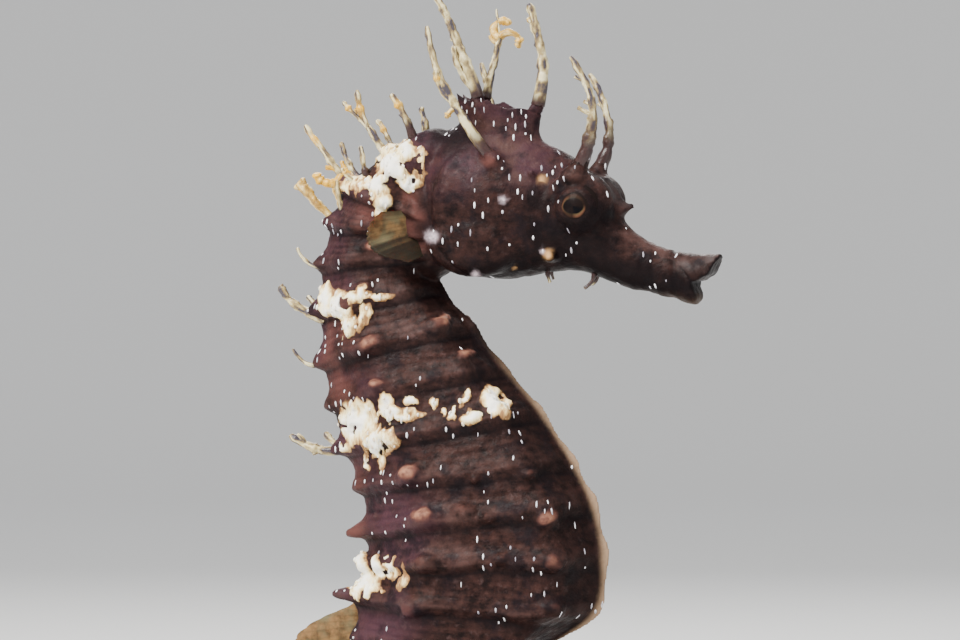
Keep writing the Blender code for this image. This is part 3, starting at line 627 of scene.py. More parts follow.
@dataclass
class Markings:
    """Where crust, warts and pale skin lie. The chart sees each flank turned a little towards the snout."""

    turn: float = 18.0
    wart_tilt: float = 14.0
    crust: tuple = (
        Blot(-7.9, 39.4, 1.5, 1.9, 14), Blot(-6.6, 40.8, 0.8, 0.9), Blot(-6.4, 37.9, 1.35, 0.7, -8),
        Blot(-5.4, 39.5, 0.45, 1.6, 8, 0.45), Blot(-9.3, 37.6, 1.3, 0.9, 0, 0.8),
        Blot(-9.0, 36.2, 0.7, 1.3, -10, 0.6), Blot(-11.0, 37.7, 2.1, 0.62, -4, 0.45),
        Blot(-12.4, 37.2, 0.9, 0.35, -10, 0.4), Blot(-13.9, 27.5, 0.75, 1.3, 0, 0.8),
        Blot(-12.6, 26.7, 0.75, 1.6, 12), Blot(-13.2, 26.3, 1.4, 0.5, 0, 0.7),
        Blot(-11.8, 25.0, 0.75, 0.9, 24, 0.8), Blot(-11.7, 27.5, 1.1, 0.4, 14, 0.6),
        Blot(-10.7, 28.0, 0.42, 0.8, 0, 0.7), Blot(-9.2, 27.7, 1.4, 0.32, 0, 0.6),
        Blot(-10.5, 25.7, 0.35, 1.3, -6, 0.45), Blot(-11.1, 16.2, 1.7, 2.0),
        Blot(-7.6, 17.1, 2.4, 0.5, -4, 0.8), Blot(-8.4, 18.0, 0.8, 0.8, 0, 0.7),
        Blot(-6.1, 18.1, 0.7, 0.45), Blot(-9.0, 14.4, 1.5, 1.3, 20, 0.8),
        Blot(-8.8, 12.9, 0.55, 1.0, 0, 0.6), Blot(-10.3, 12.6, 0.35, 0.9, 0, 0.5),
        Blot(-12.2, 13.9, 0.6, 0.4, 0, 0.5), Blot(-4.2, 18.1, 0.4, 0.6),
        Blot(-3.4, 17.5, 0.22, 0.35), Blot(-2.4, 16.9, 0.4, 0.4),
        Blot(-1.5, 18.5, 0.3, 0.75, -32, 0.8), Blot(-0.6, 16.9, 1.1, 0.55, 16, 0.8),
        Blot(0.9, 18.1, 0.9, 1.3, 8), Blot(2.0, 17.6, 0.6, 1.1, 20, 0.5),
        Blot(-10.4, 1.6, 1.2, 0.85), Blot(-10.5, 3.0, 0.42, 1.5, 8, 0.9),
        Blot(-9.1, 3.2, 0.38, 1.3, 4, 0.8), Blot(-8.0, 3.4, 0.5, 0.75, -20, 0.65),
        Blot(-8.6, 2.2, 1.2, 0.5, 14, 0.7), Blot(-6.9, 2.2, 0.32, 1.2, -8, 0.4),
        Blot(-10.4, 0.8, 1.6, 0.3, 4, 0.45),
    )
    bare: tuple = (
        Blot(-6.4, 39.3, 0.5, 0.6, 30), Blot(-7.4, 37.0, 0.8, 0.5), Blot(-9.0, 13.5, 0.22, 0.25),
        Blot(-9.9, 13.0, 0.2, 0.3), Blot(-7.4, 16.5, 0.9, 0.16, -6),
        Blot(-5.6, 17.6, 0.8, 0.2, -10),
    )
    warts: tuple = (
        (-9.5, 32.1, 0.68, 0.9), (-10.5, 28.3, 0.5, 0.6), (-10.0, 23.2, 0.80, 1.0),
        (-9.4, 19.5, 0.60, 0.9), (-6.4, 11.5, 0.86, 0.95), (-5.2, 7.7, 0.92, 0.9),
        (-1.6, 8.4, 0.6, 0.55), (-5.1, 3.7, 0.72, 0.5), (-6.2, -0.6, 0.7, 0.5),
        (-3.6, 25.1, 0.74, 1.0), (-1.4, 22.0, 0.78, 0.95), (4.3, 11.7, 0.50, 0.5),
        (6.0, 7.7, 0.80, 0.75), (6.5, 3.9, 0.86, 0.6), (6.4, -0.2, 0.7, 0.5), (0.6, 7.9, 0.42, 0.5),
        (-0.4, 11.2, 0.34, 0.4), (1.9, 4.2, 0.42, 0.4),
    )
    spots: tuple = (
        (-4.3, 33.0, 0.5), (-0.4, 29.6, 0.30), (7.8, 40.3, 0.24), (2.0, 36.3, 0.23),
        (5.6, 31.7, 0.2),
    )
    ochre_spots: tuple = (
        (5.6, 38.2, 0.36), (6.1, 31.4, 0.40), (3.1, 30.2, 0.14),
    )
    # Painted shade under and round the eye, on the cheek and under the snout, and a dark patch behind the
    # crown
    shades: tuple = (
        Blot(8.6, 32.4, 3.4, 2.6, -10), Blot(5.2, 32.2, 1.1, 2.6), Blot(12.6, 30.0, 4.4, 1.6, -12),
        Blot(17.6, 28.2, 2.6, 1.0, -10), Blot(3.0, 30.0, 4.6, 1.0), Blot(9.9, 35.0, 2.6, 1.9),
        Blot(5.3, 36.0, 0.9, 1.6), Blot(-2.6, 42.0, 2.4, 1.5),
    )
    blushes: tuple = (
        Blot(-6.4, 35.4, 0.7, 2.0), Blot(0.7, 39.9, 0.8, 0.5, -40), Blot(-5.8, 34.2, 0.9, 1.3),
        Blot(-6.8, 32.4, 1.6, 1.0), Blot(-9.9, 34.6, 1.3, 1.9), Blot(-13.0, 22.6, 1.6, 5.0),
        Blot(-11.6, 8.0, 1.2, 5.0),
    )
    pales: tuple = (
        Blot(-12.4, 6.1, 1.2, 0.7), Blot(-12.8, 0.9, 1.3, 0.7), Blot(-8.6, 27.6, 2.2, 1.0),
        Blot(-6.4, 24.6, 3.0, 0.8, -6), Blot(-4.0, 5.0, 3.4, 0.8, -6),
        Blot(-2.2, 8.4, 1.9, 0.8, -14), Blot(-8.4, 31.2, 1.6, 1.0),
    )
    greys: tuple = (
        Blot(20.2, 30.6, 2.2, 0.9, 8), Blot(11.4, 37.8, 2.2, 0.6, -45),
    )
    # Painted highlights on the head's top and upper flank, along the snout, on the upper lip and before the
    # eye
    lights: tuple = (
        Blot(2.4, 42.0, 3.2, 1.6), Blot(3.4, 39.2, 1.6, 1.2), Blot(14.6, 32.6, 3.4, 0.5, -24),
        Blot(19.8, 30.9, 2.2, 0.8, 6), Blot(13.0, 35.4, 0.8, 0.7),
    )

    def chart(self, points: Array) -> Array:
        """Places on the chart of the flank that each point lies on."""
        turn = math.radians(self.turn)
        along = points[:, 0] * math.cos(turn) - np.abs(points[:, 1]) * math.sin(turn)
        return np.stack([along, points[:, 2]], axis=1)

    def crusted(self, points: Array) -> Arrays:
        """Lays the crust's ragged mask, pierced by small holes.

        Args:
            points: Places in the animal's frame.

        Returns:
            The mask, and how near each place is to the core of a blot.
        """
        chart = self.chart(points)
        hung = points * (1.0, 1.0, 0.42)
        fingers = 0.70 * lumps(hung, 0.36, 15) * smooth(-0.4, 0.5, lumps(points, 2.0, 16))
        across = 0.34 * lumps(points, 0.9, 3) + 0.10 * lumps(points, 0.45, 13)
        ragged = np.stack([across, 0.22 * lumps(points, 0.9, 4) + fingers], axis=1)
        left = smooth(0.0, 1.6, points[:, 1])[:, None]
        drift = np.stack([1.2 * lumps(points, 4.2, 61), 1.9 * lumps(points, 3.6, 62)], axis=1)
        moved = chart + ragged + left * drift
        core = np.max([blot.strength * unit(1.1 - blot.far(moved)) for blot in self.crust], axis=0)
        holes = smooth(0.29, 0.42, lumps(points, 0.55, 8)) * smooth(-0.4, 0.1, lumps(points, 2.2, 18))
        holes = np.maximum(holes, covered(self.bare, chart + ragged * 0.5, 0.2))
        far_side = np.where(points[:, 1] > 0, smooth(-0.45, 0.0, lumps(points, 3.4, 5)), 1.0)
        return covered(self.crust, moved, 0.24) * (1 - holes) * far_side, core

    def warted(self, points: Array, paling: bool = False) -> Array:
        """Says how far up a tubercle each place lies.

        Args:
            points: Places in the animal's frame.
            paling: Whether each wart counts by how pale its top is.

        Returns:
            A number from 0 to 1 for each place.
        """
        chart = self.chart(points)
        mask = np.zeros(len(points))
        uneven = 0.30 * lumps(points, 0.8, 23) + 0.14 * lumps(points, 0.4, 24)
        for x, z, radius, pale in self.warts:
            far = Blot(x, z, radius * 1.3, radius * 0.9, self.wart_tilt).far(chart) + uneven
            mask = np.maximum(mask, np.exp(-(np.clip(far, 0, None) ** 2.2)) * (pale if paling else 1.0))
        return mask * smooth(1.0, 2.0, np.abs(points[:, 1]))

    def spotted(self, points: Array, spots: tuple) -> Array:
        """Says how far into one of some round spots each place lies.

        Args:
            points: Places in the animal's frame.
            spots: Each spot's middle on the chart, and its radius.

        Returns:
            A number from 0 to 1 for each place.
        """
        chart = self.chart(points)
        far = [np.hypot(chart[:, 0] - x, chart[:, 1] - z) / radius for x, z, radius in spots]
        ragged = np.min(far, axis=0) * (1 + 0.2 * lumps(points, 0.5, 27))
        return np.exp(-(ragged**3)) * smooth(1.6, 2.4, np.abs(points[:, 1]))


# ------------------------------------------------------------
# Meshes
# ------------------------------------------------------------


def tube_faces(rows: int, around: int, start: int = 0) -> Faces:
    """Lists the faces of a closed tube of equal rows, with flat ends.

    Args:
        rows: How many rows it has.
        around: Points in a row.
        start: The first point's place among all.

    Returns:
        The faces.
    """
    faces = []
    for i in range(rows - 1):
        for j in range(around):
            k = (j + 1) % around
            a, b = start + i * around, start + (i + 1) * around
            faces.append((a + j, a + k, b + k, b + j))
    faces.append(tuple(start + j for j in reversed(range(around))))
    faces.append(tuple(start + (rows - 1) * around + j for j in range(around)))
    return faces


class MeshStore:
    """Gathers closed shapes, in millimetres, and makes one object of them."""

    def __init__(self) -> None:
        """Starts with nothing in it."""
        self.points: list[Array] = []
        self.faces: Faces = []
        self.values: dict[str, list[Array]] = {}
        self.count = 0

    def add(self, points: Array, faces: Faces, **values: Array) -> None:
        """Adds one shape.

        Args:
            points: Its corners.
            faces: Its faces, as places among those corners.
            **values: A number for each corner, under an attribute's name.
        """
        self.faces += [tuple(self.count + i for i in face) for face in faces]
        self.points.append(points)
        for name, numbers in values.items():
            self.values.setdefault(name, []).append(np.broadcast_to(numbers, (len(points),)))
        self.count += len(points)

    def add_tube(self, rows: Array, **values: Array) -> None:
        """Adds rows of points as a closed tube."""
        flat = {name: np.repeat(numbers, rows.shape[1]) for name, numbers in values.items()}
        self.add(rows.reshape(-1, 3), tube_faces(rows.shape[0], rows.shape[1]), **flat)

    def add_ball(self, centre: tuple, radii: tuple, segments: int = 40) -> None:
        """Adds an ellipsoid whose poles point to the two sides.

        Args:
            centre: Its middle.
            radii: Its half sizes.
            segments: Points round it.
        """
        lat = np.linspace(0.04, math.pi - 0.04, segments // 2)
        lon = turns(segments)
        y = np.repeat(np.cos(lat)[:, None], segments, axis=1)
        x = np.sin(lat)[:, None] * np.cos(lon)[None]
        z = np.sin(lat)[:, None] * np.sin(lon)[None]
        self.add_tube(np.stack([x, y, z], axis=2) * radii + np.array(centre))

    def add_run(self, course: Arrays, around: int, **values: Array) -> None:
        """Adds a round rod.

        Args:
            course: Its points, directions and radii.
            around: Points round it.
            **values: A number for each point of the course, under an attribute's name.
        """
        points, ahead, radii = course
        side = np.cross(np.broadcast_to((0.0, 1.0, 0.0), ahead.shape), ahead)
        side /= np.linalg.norm(side, axis=1, keepdims=True)
        other = np.cross(ahead, side)
        angle = turns(around)[None, :, None]
        ring = side[:, None] * np.cos(angle) + other[:, None] * np.sin(angle)
        self.add_tube(points[:, None] + ring * radii[:, None, None], **values)

    def mesh(self, name: str, placement: Placement | None = None) -> Mesh:
        """Makes the mesh, its faces turned outwards.

        Args:
            name: The mesh's name.
            placement: Turns millimetres into the frame's metres, where it is given.

        Returns:
            The mesh with its attributes.
        """
        points = np.vstack(self.points)
        if placement:
            points = placement.out(points)
        mesh = bpy.data.meshes.new(name)
        mesh.from_pydata(points.tolist(), [], self.faces)
        for attribute, lists in self.values.items():
            store_value(mesh, attribute, np.concatenate(lists))
        form = bmesh.new()
        form.from_mesh(mesh)
        bmesh.ops.recalc_face_normals(form, faces=form.faces)
        form.to_mesh(mesh)
        form.free()
        return mesh


def linked(name: str, mesh: Mesh) -> Object:
    """Puts a mesh into the scene as an object."""
    obj = bpy.data.objects.new(name, mesh)
    bpy.context.scene.collection.objects.link(obj)
    return obj


def baked(obj: Object, name: str) -> Object:
    """Replaces an object and its modifiers by one with the finished mesh.

    Args:
        obj: The object, which is removed.
        name: The new object's name.

    Returns:
        The new object.
    """
    bpy.context.view_layer.update()
    graph = bpy.context.evaluated_depsgraph_get()
    evaluated = obj.evaluated_get(graph)
    mesh = bpy.data.meshes.new_from_object(evaluated, preserve_all_data_layers=True, depsgraph=graph)
    mesh.name = name
    bpy.data.objects.remove(obj)
    made = linked(name, mesh)
    mesh.shade_smooth()
    return made


def coordinates(mesh: Mesh, what: str = "co") -> Array:
    """Reads the vertices' places, or their normals.

    Args:
        mesh: The mesh.
        what: "co" for places; anything else for normals.

    Returns:
        One row for each vertex.
    """
    numbers = np.empty(len(mesh.vertices) * 3, np.float32)
    if what == "co":
        mesh.vertices.foreach_get("co", numbers)
    else:
        mesh.vertex_normals.foreach_get("vector", numbers)
    return numbers.reshape(-1, 3).astype(float)


def set_places(mesh: Mesh, points: Array) -> None:
    """Moves the vertices to new places."""
    mesh.vertices.foreach_set("co", points.astype(np.float32).ravel())
    mesh.update()


def store_value(mesh: Mesh, name: str, numbers: Array) -> None:
    """Keeps a number for each vertex under an attribute's name."""
    made = mesh.attributes.new(name, "FLOAT", "POINT")
    made.data.foreach_set("value", numbers.astype(np.float32))


# ------------------------------------------------------------
# Finishes
# ------------------------------------------------------------


def wire(node: bpy.types.Node, feeds: dict[int | str, Value]) -> bpy.types.Node:
    """Gives inputs of a node, by name or number, their sources or their fixed values.

    Args:
        node: The node.
        feeds: What each input takes.

    Returns:
        The same node.
    """
    for key, value in feeds.items():
        socket = node.inputs[key]
        if isinstance(value, Socket):
            node.id_data.links.new(value, socket)
        elif isinstance(value, tuple) and len(socket.default_value) == 4:
            socket.default_value = (*value, 1.0)
        else:
            socket.default_value = value
    return node


class Graph:
    """Writes a material's nodes."""

    def __init__(self, name: str) -> None:
        """Starts a material with one Principled shader."""
        self.material = bpy.data.materials.new(name)
        self.material.use_nodes = True
        self.nodes = self.material.node_tree.nodes
        self.shader = self.nodes["Principled BSDF"]
        self.place = self.nodes.new("ShaderNodeTexCoord").outputs["Object"]

    def set(self, **values: Value) -> None:
        """Feeds the shader's own inputs, with _ for the spaces in their names."""
        wire(self.shader, {name.replace("_", " "): value for name, value in values.items()})

    def attribute(self, name: str) -> Socket:
        """Reads a mesh attribute."""
        node = self.nodes.new("ShaderNodeAttribute")
        node.attribute_name = name
        return node.outputs["Fac"]

    def noise(
        self, width: float, detail: float = 3.0, stretch: tuple = (1, 1, 1), rough: float = 0.55
    ) -> Socket:
        """Noise between 0 and 1.

        Args:
            width: About how wide one lump is, in millimetres.
            detail: How many finer layers lie over the first.
            stretch: How much closer the lumps lie along each axis.
            rough: How strong the finer layers are.

        Returns:
            The noise.
        """
        mapping = wire(self.nodes.new("ShaderNodeMapping"), {"Scale": stretch, "Vector": self.place})
        node = wire(self.nodes.new("ShaderNodeTexNoise"), {"Vector": mapping.outputs["Vector"]})
        wire(node, {"Scale": 1 / (width * MM), "Detail": detail, "Roughness": rough})
        return node.outputs["Fac"]

    def ramp(self, source: Socket, *stops: tuple[float, Colour | float]) -> Socket:
        """Turns a number into a colour or another number.

        Args:
            source: The number.
            *stops: Each stop's place, and its colour or grey.

        Returns:
            The ramp's colour.
        """
        node = self.nodes.new("ShaderNodeValToRGB")
        elements = node.color_ramp.elements
        while len(elements) < len(stops):
            elements.new(0.5)
        for element, (place, value) in zip(elements, stops):
            element.position = place
            element.color = (*value, 1.0) if isinstance(value, tuple) else (value, value, value, 1.0)
        return wire(node, {"Fac": source}).outputs["Color"]

    def math(self, kind: str, a: Value, b: Value) -> Socket:
        """One sum with two numbers."""
        node = self.nodes.new("ShaderNodeMath")
        node.operation = kind
        return wire(node, {0: a, 1: b}).outputs[0]

    def times(self, a: Value, b: Value) -> Socket:
        """The product of two numbers."""
        return self.math("MULTIPLY", a, b)

    def mix(self, share: Value, a: Value, b: Value) -> Socket:
        """Mixes two colours."""
        node = self.nodes.new("ShaderNodeMix")
        node.data_type = "RGBA"
        return wire(node, {0: share, 6: a, 7: b}).outputs[2]

    def bump(self, height: Socket, depth: float, strength: float = 1.0) -> None:
        """Roughens the surface, over what roughens it already.

        Args:
            height: The height, from 0 to 1.
            depth: How deep it goes, in millimetres.
            strength: The share of it that shows.
        """
        feeds = {"Strength": strength, "Distance": depth * MM, "Height": height}
        for link in self.shader.inputs["Normal"].links:
            feeds["Normal"] = link.from_socket
        self.set(Normal=wire(self.nodes.new("ShaderNodeBump"), feeds).outputs["Normal"])


@dataclass(frozen=True)
class SkinFinish:
    """Damp, leathery, dark brown skin with cream crust, pinkish warts and a pale keel."""

    dark: Colour = (0.0065, 0.0034, 0.0032)
    # Black: also the colour of the painted shade round the eye and in furrows
    black: Colour = (0.0035, 0.0022, 0.0028)
    brown: Colour = (0.037, 0.0160, 0.0132)
    # Mauve of the back and the head's top: partly the skin's own tone, partly painted light on these lit
    # sides
    purple: Colour = (0.053, 0.0225, 0.0315)
    ash: Colour = (0.080, 0.047, 0.045)
    ink: Colour = (0.0055, 0.0042, 0.0062)
    blush: Colour = (0.095, 0.036, 0.030)
    # Colour of painted highlights on the head and the rings' crests, and of the trunk's own pale patches
    light: Colour = (0.060, 0.031, 0.027)
    grey: Colour = (0.052, 0.042, 0.041)
    white: Colour = (1.0, 0.97, 0.87)
    cream: Colour = (0.96, 0.82, 0.46)
    sand: Colour = (0.62, 0.41, 0.17)
    rind: Colour = (0.25, 0.13, 0.055)
    wart: Colour = (0.095, 0.038, 0.030)
    wart_lit_top: Colour = (0.27, 0.128, 0.080)
    ochre: Colour = (0.46, 0.26, 0.11)
    spot: Colour = (0.60, 0.49, 0.53)
    keel: Colour = (0.30, 0.20, 0.125)

    def ground(self, g: Graph) -> Socket:
        """The bare skin's mottled colour, with its painted light and shade, before its markings."""
        grain = g.times(g.noise(0.9, 5.0, (1, 1, 1), 0.62), 0.62)
        folds = g.times(g.noise(0.6, 4.0, (0.45, 0.8, 1.2)), 0.38)
        fine = g.ramp(g.math("ADD", grain, folds), (0.38, 0.0), (0.62, 1.0))
        broad = g.times(g.ramp(g.noise(5.0, 2.0), (0.36, 0.0), (0.62, 1.0)), 0.8)
        patchy = g.ramp(g.noise(1.8, 4.0), (0.38, 0.1), (0.64, 1.0))
        ashen = g.ramp(g.noise(0.75, 5.0, (0.9, 0.9, 1.0), 0.7), (0.57, 0.0), (0.72, 0.5))
        inky = g.ramp(g.noise(2.3, 4.0), (0.53, 0.0), (0.64, 0.7))
        colour = g.mix(fine, self.dark, self.brown)
        for share, tint in (
            # Mauve on the back and the head's top: the skin's own tone, and partly painted light
            (g.times(broad, g.attribute("purple")), self.purple),
            # Painted highlights on the head, the brow's arch and the rings' crests, with the trunk's own pale
            # patches
            (g.times(g.attribute("light"), patchy), self.light),
            (ashen, self.ash),
            (inky, self.ink),
            # Painted shade on the front of the trunk and under the head
            (g.times(g.attribute("belly"), 0.55), self.dark),
            # Painted shade round the eye, under the snout and within the mouth
            (g.times(g.attribute("shade"), 0.85), self.black),
            (g.times(g.attribute("grey"), patchy), self.grey),
            (g.times(g.attribute("blush"), 0.8), self.blush),
            # Painted shade in furrows, slits and the mouth's lines
            (g.times(g.attribute("groove_shade"), 0.8), self.black),
            (g.times(g.attribute("keel"), 0.9), self.keel),
        ):
            colour = g.mix(share, colour, tint)
        return colour

    def marked(self, g: Graph, colour: Socket) -> Socket:
        """Lays warts, with painted light on their upper sides, and round spots over a colour."""
        wart = g.attribute("wart")
        worn = g.ramp(g.noise(0.7, 3.0), (0.38, 0.1), (0.6, 1.0))
        cloudy = g.ramp(g.noise(0.5, 2.0), (0.3, 0.45), (0.62, 1.0))
        for share, tint in (
            (g.ramp(wart, (0.08, 0.0), (0.6, 0.9)), self.wart),
            (g.times(g.ramp(wart, (0.3, 0.0), (1.0, 1.0)), worn), self.wart_lit_top),
            (g.attribute("ochre_spot"), self.ochre),
            (g.times(g.attribute("pale_spot"), cloudy), self.spot),
        ):
            colour = g.mix(share, colour, tint)
        return colour

    def material(self) -> Material:
        """Builds the skin's material.

        Returns:
            The material.
        """
        g = Graph("skin")
        colour = self.marked(g, self.ground(g))
        streaks = g.times(g.noise(0.45, 3.0, (1.8, 1.8, 0.45)), 0.6)
        level = g.math("ADD", g.times(g.attribute("core"), 0.9), streaks)
        growth = g.ramp(level, (0.32, self.rind), (0.46, self.sand), (0.61, self.cream), (0.82, self.white))
        colour = g.mix(g.ramp(g.attribute("crust"), (0.12, 0.0), (0.4, 1.0)), colour, growth)
        g.set(Base_Color=colour, Roughness=g.ramp(g.noise(0.6, 4.0), (0.3, 0.34), (0.7, 0.62)))
        g.bump(g.noise(0.22, 3.0), 0.04)
        g.bump(g.noise(0.7, 4.0), 0.09)
        g.set(Specular_IOR_Level=0.055, Subsurface_Weight=0.03, Subsurface_Scale=0.4 * MM)
        return g.material


@dataclass(frozen=True)
class FilamentFinish:
    """Wet, translucent cream flesh with dark streaks within, brown at the root and ochre at the knobs."""

    streak: Colour = (0.050, 0.042, 0.052)
    tan: Colour = (0.17, 0.12, 0.06)
    cream: Colour = (0.35, 0.27, 0.12)
    white: Colour = (0.66, 0.59, 0.35)
    root: Colour = (0.030, 0.0135, 0.0125)
    knob: Colour = (0.66, 0.36, 0.018)
    glow: Colour = (1.0, 0.9, 0.6)

    def material(self) -> Material:
        """Builds the filaments' material.

        Returns:
            The material.
        """
        g = Graph("filament")
        level = g.math("ADD", g.attribute("tone"), g.times(g.noise(0.35, 3.0), 0.4))
        colour = g.ramp(level, (0.46, self.streak), (0.60, self.tan), (0.74, self.cream), (0.96, self.white))
        ochre = g.times(g.attribute("knob"), g.ramp(g.noise(0.5, 2.0), (0.38, 1.0), (0.66, 0.6)))
        colour = g.mix(g.attribute("root"), g.mix(ochre, colour, self.knob), self.root)
        g.bump(g.noise(0.25, 2.0), 0.04)
        g.set(Base_Color=colour, Roughness=0.33, Specular_IOR_Level=0.3)
        g.set(Subsurface_Weight=0.3, Subsurface_Radius=self.glow, Subsurface_Scale=0.5 * MM)
        return g.material


@dataclass(frozen=True)
class FinFinish:
    """A clear olive web on dark rays."""

    web: Colour = (0.075, 0.047, 0.022)
    pale: Colour = (0.19, 0.110, 0.046)
    olive: Colour = (0.112, 0.110, 0.062)
    ray: Colour = (0.050, 0.030, 0.018)
    shaded: Colour = (0.0085, 0.0065, 0.0050)

    def material(self) -> Material:
        """Builds the fins' material.

        Returns:
            The material.
        """
        g = Graph("fin")
        colour = g.mix(g.ramp(g.noise(0.9, 3.0), (0.36, 0.0), (0.62, 1.0)), self.web, self.pale)
        colour = g.mix(g.ramp(g.noise(2.4, 2.0), (0.46, 0.0), (0.6, 0.7)), colour, self.olive)
        colour = g.mix(g.times(g.attribute("ray"), 0.3), colour, self.ray)
        g.bump(g.noise(0.3, 2.0), 0.03)
        g.set(Base_Color=g.mix(g.attribute("shaded"), colour, self.shaded), Roughness=0.6)
        g.set(Specular_IOR_Level=0.05, Subsurface_Weight=0.1, Subsurface_Scale=0.4 * MM)
        return g.material


@dataclass(frozen=True)
class EyeFinish:
    """A black pupil, a thin golden ring and a dark ball, under a clear wet front."""

    black: Colour = (0.002, 0.002, 0.003)
    inner: Colour = (0.070, 0.048, 0.022)
    ring: Colour = (0.108, 0.050, 0.028)
    outer: Colour = (0.09, 0.038, 0.021)
    ball: Colour = (0.008, 0.005, 0.0045)
    pupil: float = 0.79
    ring_to: float = 1.10

    def material(self) -> Material:
        """Builds the eyes' material, which reads the distance from the line of sight in millimetres and the
        iris's painted light.

        Returns:
            The material.
        """
        g = Graph("eye")
        share = g.math("DIVIDE", g.attribute("from_sight"), 2.0)
        inner, outer = self.pupil / 2, self.ring_to / 2
        stops = (
            (0.0, self.black),
            (inner, self.black),
            (inner + 0.03, self.inner),
            ((inner + outer) / 2, self.ring),
            (outer - 0.05, self.outer),
            (outer + 0.01, self.ball),
            (1.0, self.ball),
        )
        # The iris shows only where painted light falls on it; elsewhere it takes the ball's colour
        g.set(Base_Color=g.mix(g.attribute("lit"), self.ball, g.ramp(share, *stops)))
        g.set(Roughness=0.5, Specular_IOR_Level=0.03, Coat_Weight=0.015, Coat_Roughness=0.04)
        return g.material


@dataclass(frozen=True)
class CrustFinish:
    """Chalky cream growth."""

    cream: Colour = (0.94, 0.91, 0.80)
    shade: Colour = (0.70, 0.54, 0.34)

    def material(self) -> Material:
        """Builds the material of the crust's tags.

        Returns:
            The material.
        """
        g = Graph("crust")
        colour = g.mix(g.ramp(g.noise(0.8), (0.36, 0.0), (0.56, 1.0)), self.shade, self.cream)
        g.bump(g.noise(0.2, 2.0), 0.03)
        g.set(Base_Color=colour, Roughness=0.55, Subsurface_Weight=0.1, Subsurface_Scale=0.3 * MM)
        return g.material


@dataclass(frozen=True)
class FleckFinish:
    """Small clean white dots."""

    white: Colour = (0.92, 0.92, 0.94)
    dim: Colour = (0.26, 0.24, 0.28)

    def material(self) -> Material:
        """Builds the flecks' material.

        Returns:
            The material.
        """
        g = Graph("fleck")
        colour = g.mix(g.ramp(g.noise(1.1), (0.40, 0.0), (0.60, 1.0)), self.dim, self.white)
        g.set(Base_Color=colour, Roughness=0.4)
        return g.material


@dataclass(frozen=True)
class WoodFinish:
    """Dark stained wood with a satin lacquer."""

    light: Colour = (0.115, 0.055, 0.026)
    dark: Colour = (0.038, 0.018, 0.010)

    def material(self) -> Material:
        """Builds the base's material.

        Returns:
            The material.
        """
        g = Graph("wood")
        grain = g.noise(9.0, 5.0, (0.16, 1.6, 1.0), 0.62)
        pores = g.ramp(g.noise(1.6, 3.0, (0.07, 1.0, 1.0)), (0.44, 0.0), (0.5, 1.0))
        colour = g.mix(g.ramp(grain, (0.36, 0.0), (0.64, 1.0)), self.dark, self.light)
        colour = g.mix(g.times(pores, 0.35), colour, self.dark)
        g.bump(pores, 0.05, 0.5)
        g.set(Base_Color=colour, Roughness=g.ramp(grain, (0.3, 0.42), (0.7, 0.34)))
        g.set(Coat_Weight=0.3, Coat_Roughness=0.2)
        return g.material


@dataclass(frozen=True)
class BrassFinish:
    """Satin brass with a turned grain."""

    brass: Colour = (0.72, 0.55, 0.30)
    worn: Colour = (0.58, 0.42, 0.22)

    def material(self) -> Material:
        """Builds the rod's material.

        Returns:
            The material.
        """
        g = Graph("brass")
        turned = g.noise(0.5, 3.0, (0.15, 0.15, 4.0))
        colour = g.mix(g.ramp(turned, (0.4, 0.0), (0.6, 1.0)), self.worn, self.brass)
        g.set(Base_Color=colour, Roughness=g.ramp(turned, (0.3, 0.26), (0.7, 0.38)), Metallic=1.0)
        return g.material


# ------------------------------------------------------------
# Sub-assemblies
# ------------------------------------------------------------


@dataclass
class Animal:
    """What all the pieces of the animal share."""

    line: BodyLine
    head: HeadForm
    crown: Crown
    markings: Markings
    placement: Placement

    def smooth_piece(self, name: str, store: MeshStore, material: Material) -> Object:
        """Makes one smooth piece of the animal, in the frame's metres.

        Args:
            name: The piece's name.
            store: Its shapes, in millimetres.
            material: Its material.

        Returns:
            The piece.
        """
        piece = linked(name, store.mesh(name, self.placement))
        piece.data.shade_smooth()
        piece.data.materials.append(material)
        return piece


